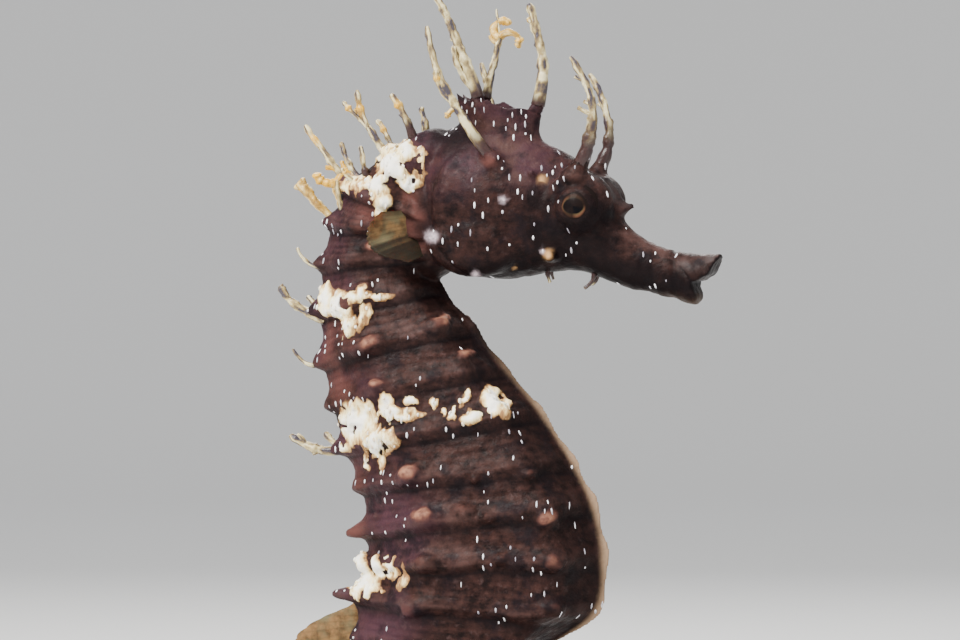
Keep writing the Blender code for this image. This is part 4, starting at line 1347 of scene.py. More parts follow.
@dataclass
class Skin:
    """The one skin of head, neck, trunk, tail and crown, with the roots of the filaments."""

    animal: Animal
    grain: float = 0.2
    faces: int = 196000
    root_share: float = 0.16
    root_steps: int = 40
    around: int = 14
    spines: tuple = (
        ((12.2, 0.0, 34.8), (14.5, 0.0, 35.9), 1.1, 0.32),
        ((7.6, 2.4, 31.4), (7.9, 4.2, 31.0), 0.8, 0.36),
        ((6.2, 2.2, 38.0), (6.0, 4.0, 38.9), 0.75, 0.28),
        ((-1.6, 3.0, 32.6), (-2.5, 5.3, 32.6), 0.9, 0.45),
    )
    snout_bridge: tuple = ((11.0, 0.0, 37.6), (13.6, 0.0, 35.0), 1.5, 0.9)
    cover_side: float = 2.7
    cover_halves: tuple = (4.7, 2.4, 3.7)
    throat_halves: tuple = (2.2, 3.3, 2.4)
    rim_root_depth: float = 1.9
    easing_steps: int = 14
    even_steps: int = 2
    nodes: tuple = (
        "head", "snout", "lower_jaw", "coronet", "neck", "trunk", "tail_base", "tail_middle",
        "tail_curl", "tail_tip",
    )

    def build(self, material: Material) -> Object:
        """Makes the skin.

        Args:
            material: The skin's material.

        Returns:
            The finished object, in the frame's metres.
        """
        rough = self.closed_form()
        self.ease_creases(rough.data)
        self.carve(rough.data)
        skin = self.thinned(rough)
        skin.data.materials.append(material)
        set_places(skin.data, self.animal.placement.out(coordinates(skin.data)))
        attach(skin, BODY)
        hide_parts(*self.nodes)
        return skin

    def thinned(self, skin: Object) -> Object:
        """Merges faces where the surface is flattest, down to the skin's share of the model."""
        skin.data.calc_loop_triangles()
        change = skin.modifiers.new("thin", "DECIMATE")
        change.ratio = min(1.0, self.faces / len(skin.data.loop_triangles))
        return baked(skin, "skin")

    def head_with_mouth(self) -> Object:
        """The head's loft with the hollow between the lips cut out of its end."""
        head = self.animal.head
        store, hollow = MeshStore(), MeshStore()
        store.add_tube(head.tube())
        ring = np.array([(x, 0.0, z) for x, z in head.gape])
        hollow.add_tube(np.array([ring + (0, y, 0) for y in (-4.0, 4.0)]))
        made = linked("head_form", store.mesh("head_form"))
        cutter = linked("hollow", hollow.mesh("hollow"))
        change = made.modifiers.new("hollow", "BOOLEAN")
        change.operation = "DIFFERENCE"
        change.solver = "EXACT"
        change.object = cutter
        made = baked(made, "head_form")
        bpy.data.objects.remove(cutter)
        return made

    def closed_form(self) -> Object:
        """Lofts all the forms, lays them over one another and closes them into one surface."""
        animal = self.animal
        store = MeshStore()
        head = self.head_with_mouth()
        store.add(coordinates(head.data), [tuple(p.vertices) for p in head.data.polygons])
        bpy.data.objects.remove(head)
        store.add_tube(animal.line.tube())
        store.add_tube(animal.crown.tube())
        self.add_swellings(store)
        store.add_run(self.between(*self.snout_bridge), 20)
        for foot, tip, foot_radius, tip_radius in self.spines:
            for side in Side if foot[1] else (Side.RIGHT,):
                ends = [(x, y * side.value, z) for x, y, z in (foot, tip)]
                store.add_run(self.between(*ends, foot_radius, tip_radius), self.around)
        for name, filament in FILAMENTS.items():
            self.add_root(store, name, filament)
        form = linked("skin_form", store.mesh("skin_form"))
        remesh = form.modifiers.new("close", "REMESH")
        remesh.mode = "VOXEL"
        remesh.voxel_size = self.grain
        remesh.use_smooth_shade = True
        return baked(form, "skin")

    def add_swellings(self, store: MeshStore) -> None:
        """Adds orbits, gill covers, throat, girdle and nape as balls."""
        head = self.animal.head
        for side in Side:
            x, y, z = head.orbit
            store.add_ball((x, y * side.value, z), (head.orbit_radius,) * 3)
            cover_x, cover_z = head.cover
            store.add_ball((cover_x, self.cover_side * side.value, cover_z), self.cover_halves)
        throat_x, throat_z = head.throat
        store.add_ball((throat_x, 0.0, throat_z), self.throat_halves)
        store.add_ball(head.girdle, head.girdle_halves, 48)
        store.add_ball(head.nape, head.nape_halves)

    def add_root(self, store: MeshStore, name: str, filament: Filament) -> None:
        """Adds a filament's first part, which flares where it leaves the skin, and a peg under it.

        Args:
            store: Gathers the skin's forms.
            name: The filament's name.
            filament: The filament.
        """
        points, ahead, radii = filament.path(self.root_steps)
        on_rim = name.startswith("coronet") and "side" not in name
        longer = 1.9 if name.startswith("eye") else 1.0
        count = 3 if on_rim else max(4, int(self.root_steps * self.root_share * longer))
        left = 1 - np.arange(count) / (count - 1)
        flare = 1.0 + (0.1 if on_rim else 0.5) * left**2 - 0.2 * (1 - left) ** 4
        store.add_run((points[:count], ahead[:count], radii[:count] * flare), self.around)
        foot = points[0] - ahead[0] * 1.4
        if on_rim:
            middle = np.array((*self.animal.crown.centre, 0.0))
            foot = points[0] + (middle - points[0]) * (0.22, 0.22, 0.0) - (0.0, 0.0, self.rim_root_depth)
        peg = self.between(tuple(foot), tuple(points[1]), radii[0] * 1.35, radii[0] * 0.95)
        store.add_run(peg, self.around)

    def between(self, foot: tuple, tip: tuple, foot_radius: float, tip_radius: float) -> tuple:
        """Lays a straight, blunt cone.

        Args:
            foot: The foot's middle.
            tip: The tip's middle.
            foot_radius: The foot's radius.
            tip_radius: The tip's radius.

        Returns:
            Points, directions and radii.
        """
        start, end = np.array(foot), np.array(tip)
        t = np.linspace(0, 1, 9)
        ahead = np.broadcast_to((end - start) / np.linalg.norm(end - start), (9, 3))
        radii = tip_radius + (foot_radius - tip_radius) * (1 - t) ** 1.5
        return start + (end - start) * t[:, None], ahead, radii

    def creased(self, points: Array) -> Array:
        """How much each place needs smoothing: most where the head meets neck, crown, brow and gill cover."""
        x, y, z = points.T
        near_crown = (np.abs(x - 1.9) < 6) * (np.abs(y) < 4)
        nape = bell(x + 4.4, 1.9) * smooth(28.5, 30.5, z) * (x < 0)
        girdle = bell(x + 6.6, 1.0) * smooth(30.0, 32.0, z) * smooth(39.0, 37.0, z)
        crown = bell(z - 41.6, 1.5) * near_crown
        rim = smooth(44.0, 45.0, z) * near_crown
        brow = bell(np.hypot(x - 10.3, z - 35.75) - 2.9, 0.8) * (np.abs(x - 10.3) < 4.5)
        cover_x, cover_z = self.animal.head.cover
        half_x, _, half_z = self.cover_halves
        from_cover = np.hypot((x - cover_x) / half_x, (z - cover_z) / half_z)
        cover = bell(from_cover - 0.9, 0.2) * (np.abs(y) > 2.2)
        return unit(0.25 + nape + 0.7 * girdle + 0.8 * crown + 0.4 * rim + 0.6 * brow + cover)

    def ease_creases(self, mesh: Mesh) -> None:
        """Smooths the surface a little all over, and more in its creases."""
        points = coordinates(mesh)
        edges = np.empty(len(mesh.edges) * 2, np.int64)
        mesh.edges.foreach_get("vertices", edges)
        edges = edges.reshape(-1, 2)
        degree = np.bincount(edges.ravel(), minlength=len(points))[:, None]
        amount = self.creased(points)[:, None]
        for step in range(self.easing_steps):
            total = np.zeros_like(points)
            np.add.at(total, edges[:, 0], points[edges[:, 1]])
            np.add.at(total, edges[:, 1], points[edges[:, 0]])
            share = 0.5 if step < self.even_steps else 0.5 * amount * (amount > 0.3)
            points = points + (total / degree - points) * share
        set_places(mesh, points)

    def carve(self, mesh: Mesh) -> None:
        """Works the fine relief into the surface and keeps the masks that colour it."""
        surface = Surface(mesh, self.animal)
        relief, masks = surface.worked()
        set_places(mesh, surface.points + surface.normals * relief[:, None])
        for name, numbers in masks.items():
            store_value(mesh, name, numbers)


@dataclass
class Surface:
    """The skin's places before anything is carved, with the heights of its relief in millimetres."""

    mesh: Mesh
    animal: Animal
    ring: float = 0.24
    furrow: float = 0.20
    fold: float = 0.035
    wart_height: float = 0.75
    pores: float = 0.03
    least_crust: float = 0.04
    lid: float = 0.10
    arch: float = 0.19
    hollow: float = 0.08
    slit: float = 0.09
    flap: float = 0.08
    lip: float = 0.12
    mouth: float = 0.20
    jaw: float = 0.08

    def __post_init__(self) -> None:
        """Measures where each place lies, and what covers it."""
        self.points, self.normals = coordinates(self.mesh), coordinates(self.mesh, "normal")
        self.chart = self.animal.markings.chart(self.points)
        self.hung = self.points * (1.2, 1.2, 0.45)
        self.r, self.u, off_midplane = self.animal.line.locate(self.points)
        x, _, z = self.points.T
        nape = smooth(39.0, 40.5, z) * smooth(-6.0, -4.0, x)
        self.on_head = np.maximum(smooth(-5.2, -3.4, x), nape) * smooth(27.6, 28.4, z)
        self.on_body = 1 - self.on_head
        edge = (1 - smooth(0.12, 0.3, off_midplane)) * (1 - smooth(11.4, 12.4, self.r)) * self.on_body
        self.smooth_edge = smooth(0.78, 0.95, self.u) * edge * smooth(3.0, 4.0, self.r)
        self.keel = smooth(0.905, 0.985, self.u) * edge * smooth(5.0, 8.0, self.r)
        self.crust, self.core = self.animal.markings.crusted(self.points)
        self.wart = self.animal.markings.warted(self.points) * self.on_body * (1 - self.crust)

    def worked(self) -> tuple[Array, dict[str, Array]]:
        """The relief in millimetres, and the masks under their attributes' names."""
        points, on_head, on_body, wart = self.points, self.on_head, self.on_body, self.wart
        rings, ring_groove_shade, crest = self.ring_relief()
        folds, head_groove_shade, arch = self.head_relief()
        ringed = on_body * (1 - 0.9 * self.smooth_edge) * (1 - 0.6 * wart) * rings
        relief = ringed + on_head * folds + self.wart_height * wart
        relief += (0.04 + 0.03 * on_body) * lumps(points, 1.1, 1) + self.pores * lumps(points, 0.55, 2)
        thick = 0.16 + 0.36 * self.core + 0.26 * lumps(self.hung, 0.6, 6) + 0.07 * lumps(points, 0.42, 7)
        relief += self.crust * np.clip(thick, self.least_crust, 1)
        # Painted shade in the rings' furrows, the gill slits, under the brows and in the mouth's lines
        groove_shade = on_body * ring_groove_shade * (self.r > 0.8) * (1 - wart) + on_head * head_groove_shade
        # Painted highlights on the head and along the brow's arch, painted light on the rings' crests, and
        # the trunk's own pale patches
        light = covered(self.animal.markings.lights, self.chart, 0.6)
        pale = covered(self.animal.markings.pales, self.chart, 0.6)
        lit = (light + 0.85 * arch) * on_head + (0.75 * unit(crest) + 0.8 * pale) * on_body * (1 - self.keel)
        return relief, {"groove_shade": unit(groove_shade), "light": unit(lit), **self.masks()}

    def masks(self) -> dict[str, Array]:
        """The masks that don't follow from the relief, under their attributes' names."""
        points, on_head, on_body, markings = self.points, self.on_head, self.on_body, self.animal.markings
        x, _, z = points.T
        # The warts' colour sits 0.22 mm above their bumps: painted light on their upper sides, their lower
        # sides left dark
        above = markings.warted(points - (0.0, 0.0, 0.22), True) * on_body * (1 - self.crust)
        wobble = np.stack([0.7 * lumps(points, 1.7, 71), 0.7 * lumps(points, 1.7, 72)], axis=1)
        shade = covered(markings.shades, self.chart + wobble, 0.5)
        grey = covered(markings.greys, self.chart + 0.5 * wobble, 0.5)
        # Painted shade: darker on the lower head, and within the mouth
        low = 0.35 * smooth(40.0, 36.0, z) * smooth(15.0, 11.0, x)
        inside_shade = smooth(0.2, 0.6, self.normals[:, 0]) * smooth(19.6, 20.2, x)
        # Partly painted light: the back and the head's top, which face the light, get a mauve tint
        back = smooth(0.0, -0.6, self.u) * on_body
        top = on_head * smooth(35, 40, z) * (1 - smooth(7.0, 10.0, x))
        tags = 0.45 + 0.55 * smooth(0.0, 0.4, lumps(points, 1.4, 31))
        return {
            "crust": self.crust,
            "core": unit(self.core + 0.20 * lumps(self.hung, 0.55, 9) + 0.1 * lumps(points, 1.6, 10)),
            "wart": smooth(0.25, 1.0, above),
            "pale_spot": markings.spotted(points, markings.spots),
            "ochre_spot": markings.spotted(points, markings.ochre_spots),
            "blush": covered(markings.blushes, self.chart, 0.6) * smooth(-0.9, 0.3, lumps(points, 1.8, 51)),
            # Painted shade round the eye and snout, on the lower head and within the mouth
            "shade": np.maximum.reduce([shade, low, inside_shade]) * on_head,
            "grey": 0.9 * grey * (1 - inside_shade) * on_head,
            "keel": self.keel,
            "purple": unit(back * 0.9 + 0.85 * top),
            # Painted shade on the front of the trunk and under the head
            "belly": unit(smooth(0.5, 0.85, self.u) * on_body + on_head * smooth(31.5, 29.5, z)),
            "fleck_share": self.fleck_shares(),
            "tag_share": unit(self.crust * tags),
        }

    def ring_relief(self) -> Arrays:
        """Raised rings with finer folds between them.

        Returns:
            The relief in millimetres, the painted shade in its furrows and between its folds, and the painted
            light on its crests and folds.
        """
        points, r = self.points, self.r
        bent = r + 0.05 * lumps(points, 3.4, 11)
        off = bent - np.round(bent)
        tail = smooth(12.0, 15.0, r)
        uneven = 0.75 + 0.35 * lumps(points, 3.0, 19)
        crest = bell(off, np.where(off < 0, 0.26, 0.12))
        furrow = bell(off - 0.25, 0.12) * uneven
        wave = np.cos(2 * np.pi * (bent * 6 + 0.14 * lumps(points, 2.6, 12)))
        patches = 0.6 + 0.4 * lumps(points, 2.0, 20)
        patchy = patches * (1 - 0.35 * smooth(6.0, 9.0, r)) * smooth(0.5, 2.0, r)
        relief = (self.ring - 0.14 * tail) * crest - (self.furrow - 0.12 * tail) * furrow
        relief += self.fold * wave * patchy * (1 - 0.6 * tail)
        # Painted shade: darkest in the furrow under each crest and in the troughs of the fine folds
        dark = 0.95 * furrow + 0.55 * smooth(0.0, -0.8, wave) * patchy
        # Painted light: brightest along each ring's crest and on the tops of the fine folds
        raised = bell(off + 0.04, 0.10) * uneven + 0.3 * smooth(0.1, 0.9, wave) * patchy
        return relief, unit(dark), raised

    def head_relief(self) -> Arrays:
        """Folds round the eyes, the rims of the gill covers, the snout's wrinkles and the mouth.

        Returns:
            The relief in millimetres, the painted shade in its furrows, slits, hollows and mouth lines, from
            0 to 1, and the brow's arch, where a highlight is painted.
        """
        by_eye, hollow, arch = self.eye_folds()
        by_gill, slit = self.gill_folds()
        by_mouth, groove_shade = self.mouth_folds()
        return by_eye + by_gill + by_mouth, unit(0.35 * slit + 0.5 * hollow + groove_shade), arch

    def eye_folds(self) -> Arrays:
        """The relief round the eyes, the hollow under each brow, and the brow's arch; the hollow also carries
        painted shade and the arch a painted highlight.
        """
        x, y, z = self.points.T
        eye_x, _, eye_z = self.animal.head.eye
        from_eye = np.hypot(x - eye_x, z - eye_z)
        from_lid = from_eye - self.animal.head.lid_radius
        about_eye = (1 - smooth(2.8, 3.7, from_eye)) * smooth(1.2, 2.2, np.abs(y))
        rings = 0.015 * np.cos(2 * np.pi * from_lid / 0.52 + 1.5 * lumps(self.points, 1.6, 33))
        over = smooth(34.8, 36.8, z) * smooth(1.0, 2.0, np.abs(y))
        arch = over * bell(from_eye - 2.75 + 0.1 * lumps(self.points, 1.2, 35), 0.34)
        hollow = over * bell(from_eye - 2.05, 0.24)
        relief = about_eye * (rings + self.lid * bell(from_lid - 0.14, 0.2))
        return relief + self.arch * arch - self.hollow * hollow, hollow, arch

    def gill_folds(self) -> Arrays:
        """The relief of the gill covers with their fine ribs, and the slit behind each, which also carries
        painted shade.
        """
        x, y, z = self.points.T
        head = self.animal.head
        slit_x, slit_z = head.gill_slit
        across, up = head.gill_slit_halves
        from_slit = (np.hypot((x - slit_x) / across, (z - slit_z) / up) - 1) * across
        beside = smooth(1.6, 2.8, np.abs(y))
        along = beside * smooth(1.6, -0.6, x) * smooth(41.6, 39.6, z)
        slit = along * bell(from_slit, 0.22)
        flap = along * smooth(-1.6, -0.2, from_slit) * smooth(0.05, -0.1, from_slit)
        cover_x, cover_z = head.cover
        from_cover = np.hypot(x - cover_x, z - cover_z)
        ribs = 0.016 * np.cos(np.arctan2(z - cover_z, x - cover_x) * 34)
        fan = beside * (1 - smooth(2.6, 3.8, from_cover)) * smooth(0.6, 1.6, from_cover) * ribs
        return self.flap * flap - self.slit * slit + fan, slit

    def mouth_folds(self) -> Arrays:
        """The relief of the snout and the lips, and how much painted shade lies in their grooves at each
        place.
        """
        x, _, z = self.points.T
        wrinkles = 0.02 * np.cos(2 * np.pi * (x * 1.1 + 0.3 * lumps(self.points, 2.0, 14)))
        lip = bell(x - 18.75 + (z - 29.4) ** 2 * 0.06, 0.16) * smooth(26.9, 27.6, z)
        mouth = bell(z - 30.3 + 1.15 * (x - 19.3), 0.16) * smooth(19.1, 19.4, x) * smooth(20.6, 20.3, x)
        jaw = bell(x - 19.35 - (z - 28.0) * 0.2, 0.12) * smooth(27.0, 27.5, z) * smooth(30.0, 29.4, z)
        relief = smooth(13.5, 15.5, x) * wrinkles - self.lip * lip - self.mouth * mouth - self.jaw * jaw
        return relief, 0.6 * lip + mouth + 0.5 * jaw

    def fleck_shares(self) -> Array:
        """How thickly white flecks lie over each place, from 0 to 1."""
        x, _, z = self.points.T
        rows = bell(np.abs(self.r - np.round(self.r)), 0.2)
        neck = smooth(0.2, -0.3, self.u) * (1 - smooth(4.5, 6.5, self.r))
        back = smooth(-0.4, -0.7, self.u)
        body = unit((0.10 + 0.7 * rows) * (0.45 + 0.55 * back) + 0.35 * neck)
        eye_x, _, eye_z = self.animal.head.eye
        eye = 1 - smooth(1.2, 1.6, np.hypot(x - eye_x, z - eye_z))
        top = smooth(36.0, 40.0, z) * (1 - smooth(6.0, 9.0, x))
        above = smooth(28.5, 31.0, z + (x > 13) * 2)
        head = (0.28 + 0.45 * top) * (1 - eye) * (1 - smooth(18.6, 19.2, x)) * above
        share = self.on_head * head + self.on_body * body
        patches = smooth(-0.1, 0.25, lumps(self.points, 2.0, 21) + 0.1)
        flank = smooth(0.2, 0.5, np.abs(self.normals[:, 1]))
        return flank * (share * (self.crust < 0.2) * patches)


@dataclass
class Eye:
    """One eyeball, with the iris drawn round its line of sight."""

    animal: Animal
    side: Side
    segments: int = 64
    swell: float = 0.02
    dimmest: float = 0.04
    pupil_halves: tuple = (0.90, 0.66)
    # Painted light on the iris: the middle of each lit crescent in degrees, its half width, and its
    # brightness
    glints: tuple = ((166.0, 52.0, 0.5), (312.0, 42.0, 1.0), (236.0, 30.0, 0.2), (90.0, 60.0, 0.15))

    def build(self, material: Material) -> Object:
        """Makes the eyeball from the line of sight inwards.

        Args:
            material: The eyes' material.

        Returns:
            The eyeball.
        """
        eye_x, eye_y, eye_z = self.animal.head.eye
        radius, sign = self.animal.head.eye_radius, self.side.value
        lat = np.concatenate([np.linspace(0.01, 0.66, 26), np.linspace(0.7, 2.2, 20)])
        lon = turns(self.segments)
        rings = []
        for angle, size in zip(lat, 1 + self.swell * bell(lat, 0.42)):
            across = radius * math.sin(angle) * size
            y = np.full(self.segments, sign * radius * math.cos(angle) * size)
            rings.append(np.stack([across * np.cos(lon), y, across * np.sin(lon)], axis=1))
        shape = (np.array(rings) + (eye_x, eye_y * sign, eye_z)).reshape(-1, 3)
        values = {"from_sight": self.from_sight(lat, lon).ravel(), "lit": np.tile(self.lit(lon), len(lat))}
        store = MeshStore()
        store.add(shape, tube_faces(len(lat), self.segments), **values)
        eye = self.animal.smooth_piece(f"eyeball_{self.side.label}", store, material)
        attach(eye, BODY)
        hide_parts(f"eye_{self.side.label}")
        return eye

    def lit(self, lon: Array) -> Array:
        """How bright the iris is painted all round, from 0 to 1: painted light brightest at the lower right
        and on the left, and the lid's painted shadow keeping the top dim.
        """
        lit = self.dimmest * np.ones(self.segments)
        for middle, half, most in self.glints:
            apart = np.abs((np.degrees(lon) - middle + 180) % 360 - 180)
            lit = np.maximum(lit, most * np.exp(-((apart / half) ** 4)))
        return lit

    def from_sight(self, lat: Array, lon: Array) -> Array:
        """How far each place lies from the line of sight, bent so that the pupil's edge is an oval."""
        wavy = 1 + 0.025 * np.sin(lon * 3 + 0.6) + 0.012 * np.sin(lon * 7)
        sight = np.outer(self.animal.head.eye_radius * np.sin(lat), wavy) + 3.0 * (lat > 1.2)[:, None]
        along, up = self.pupil_halves
        edge = 1 / np.hypot(np.cos(lon) / along, np.sin(lon) / up)
        return sight + (EyeFinish.pupil - edge) * bell(sight - edge, 0.22)


@dataclass
class Fan:
    """A fin: rays that fan out from a foot, with a thin web between them.

    The foot's middle lies `out` from the midplane, and the fin stands off from the flank by `flare` degrees.
    `spread` gives the directions of the first and last ray, in degrees. `shorten`, `low_front` and `rounded`
    are the shares that the last ray, the first rays and both corners lose of their length, and `shaded` is
    how dark the later rays are.
    """

    animal: Animal
    node: str
    foot: tuple
    spread: tuple
    reach: float
    foot_length: float
    rays: int
    side: int = 0
    out: float = 0.0
    flare: float = 0.0
    web: float = 0.07
    ray: float = 0.15
    shorten: float = 0.0
    shaded: float = 0.0
    low_front: float = 0.0
    rounded: float = 0.0
    per_ray: int = 6
    rows: int = 16

    def build(self, material: Material) -> Object:
        """Makes the fin as one closed web that thickens into its rays.

        Args:
            material: The fins' material.

        Returns:
            The fin.
        """
        columns = (self.rays - 1) * self.per_ray + 1
        t = np.linspace(0, 1, columns)
        share = np.linspace(-0.12, 1, self.rows)[:, None]
        at_ray = np.abs(np.cos(np.pi * t * (self.rays - 1)))
        flat = self.laid_flat(t, share, at_ray)
        bare = np.clip(share, 0, 1)
        lean = math.tan(math.radians(self.flare))
        wave = 0.22 * bare**1.5 * np.sin(t * 11.0 + 0.7)[None] + 0.05 * share * at_ray[None]
        away = (self.side or 1) * (self.out + lean * self.reach * bare + wave)
        thick = (self.web + (self.ray - self.web) * at_ray[None] ** 3) * (1 - 0.55 * bare)
        half = thick / 2 + 0.02
        layers = [np.stack([flat[..., 0], away + k * half, flat[..., 1]], axis=2) for k in (-1, 1)]
        points = np.concatenate([layer.reshape(-1, 3) for layer in layers])
        shaded = np.tile(self.shading(t, share).ravel(), 2)
        store = MeshStore()
        store.add(points, self.faces(columns), ray=np.tile(at_ray**8, self.rows * 2), shaded=shaded)
        fin = self.animal.smooth_piece(f"{self.node}_web", store, material)
        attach(fin, BODY)
        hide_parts(self.node)
        return fin

    def laid_flat(self, t: Array, share: Array, at_ray: Array) -> Array:
        """The web's places in the fin's plane, by row and column."""
        start, end = self.spread
        middle = math.radians((start + end) / 2)
        angle = np.radians(start + (end - start) * t)
        along = (-math.sin(middle), math.cos(middle))
        foot = np.array(self.foot) + np.outer((t - 0.5) * self.foot_length, along)
        reach = self.reach * (0.72 + 0.28 * np.sin(np.pi * np.minimum(t * 1.15, 1.0)))
        reach = reach * (0.975 + 0.035 * at_ray)
        reach = reach * (1 - self.shorten * t**1.5) * (1 - self.low_front * (1 - smooth(0.0, 0.34, t)))
        reach = reach * (1 - self.rounded * np.abs(2 * t - 1) ** 2.4)
        direction = np.stack([np.cos(angle), np.sin(angle)], axis=1)
        return foot[None] + direction[None] * (reach[None, :, None] * share[..., None])

    def shading(self, t: Array, share: Array) -> Array:
        """How dark each place is, from 0 to 1: the later rays most, and then the rim and the foot."""
        later = smooth(0.3, 0.6, t + 0.06 * np.sin(t * 40)) * self.shaded
        border = np.maximum(smooth(0.66, 1.0, share), smooth(0.36, 0.06, share))
        border = np.maximum(border, smooth(0.14, 0.0, t)[None])
        return later[None] + (self.shaded - later[None]) * 0.55 * border

    def faces(self, columns: int) -> Faces:
        """Faces of the web's two sides and of the rim that joins them."""
        rows = self.rows
        one = rows * columns
        faces = []
        for i in range(rows - 1):
            for j in range(columns - 1):
                a, b = i * columns + j, (i + 1) * columns + j
                faces += [(a, b, b + 1, a + 1), (one + a, one + a + 1, one + b + 1, one + b)]
        rim = list(range(columns)) + [(i + 1) * columns - 1 for i in range(1, rows)]
        rim += [(rows - 1) * columns + j for j in reversed(range(columns - 1))]
        rim += [i * columns for i in reversed(range(1, rows - 1))]
        return faces + [(a, b, one + b, one + a) for a, b in zip(rim, rim[1:] + rim[:1])]


@dataclass
class Filaments:
    """All the skin filaments with their side branches and knobs."""

    animal: Animal
    steps: int = 60
    around: int = 14
    sway: float = 7.0
    knob_at: float = 0.76
    end_knob_at: float = 0.93
    tip_from: float = 0.94

    def rod(self, store: MeshStore, filament: Filament, seed: int) -> None:
        """Adds one filament, uneven along its length, with a rounded tip.

        Args:
            store: Gathers the filaments.
            filament: The filament.
            seed: Which way it wanders.
        """
        points, ahead, radii = filament.path(self.steps, self.sway, seed)
        t = np.linspace(0, 1, self.steps + 1)
        mm = t * filament.length
        slim = smooth(0.12, 0.4, t)
        radii = radii * (1 + slim * (0.10 * np.sin(mm * 3.7 + seed) + 0.05 * np.sin(mm * 9.3 + 2 * seed)))
        if filament.knob:
            knobs = bell(t - self.knob_at, 0.055) + 0.4 * bell(t - self.end_knob_at, 0.05)
            radii = radii + filament.knob * knobs
        radii = radii * np.sqrt(np.clip(1 - unit((t - self.tip_from) / 0.075) ** 2, 0.01, 1))
        dark = filament.dark_root
        root = 1 - smooth(dark * 0.55, dark + 0.12, t) if dark else 0 * t
        ochre = np.maximum(filament.ochre, bell(t - self.knob_at, 0.09) * (filament.knob > 0.05))
        first = store.count
        store.add_run((points, ahead, radii), self.around, root=root, knob=ochre)
        shape = store.points[-1]
        middle = np.repeat(points, self.around, axis=0)
        nodules = 0.20 * lumps(shape + first, 0.5, 40) + 0.20 * unit(lumps(shape + first, 0.34, 43))
        frill = 1 + nodules * np.repeat(slim, self.around)
        store.points[-1] = middle + (shape - middle) * frill[:, None]
        store.values.setdefault("tone", []).append(self.tone(mm, seed))

    def tone(self, mm: Array, seed: int) -> Array:
        """How pale each place of a filament is, from 0 to 1, in streaks that wrap round it."""
        angle = np.tile(turns(self.around), len(mm))
        onward = np.repeat(mm, self.around) * 0.42 + seed * 9.1
        wrapped = np.stack([0.6 * np.cos(angle), 0.6 * np.sin(angle), onward], axis=1)
        return unit(0.5 + 0.40 * lumps(wrapped, 0.42, 41) + 0.28 * lumps(wrapped, 0.2, 42))

    def grown(self, twig: Twig) -> Filament:
        """Roots a twig on its parent's course."""
        seed = list(FILAMENTS).index(twig.parent)
        points = FILAMENTS[twig.parent].path(self.steps, self.sway, seed)[0]
        root = tuple(points[round(twig.at * self.steps)])
        taper = (twig.length, twig.radius, twig.tip_radius)
        return Filament(root, twig.lean, twig.splay, twig.bend, *taper, twig.knob, 0.0, twig.ochre)

    def build(self, material: Material) -> list[Object]:
        """Makes the filaments.

        Args:
            material: Their material.

        Returns:
            The large filaments as one piece, and the twigs and sprigs as another.
        """
        slight = [self.grown(twig) for twig in TWIGS] + list(SPRIGS)
        made = []
        for name, group, nodes in (
            ("filament_rods", FILAMENTS.values(), tuple(FILAMENTS)),
            ("filament_twigs", slight, ()),
        ):
            store = MeshStore()
            for seed, filament in enumerate(group):
                self.rod(store, filament, seed)
            piece = self.animal.smooth_piece(name, store, material)
            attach(piece, BODY)
            if nodes:
                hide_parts(*nodes)
            made.append(piece)
        return made


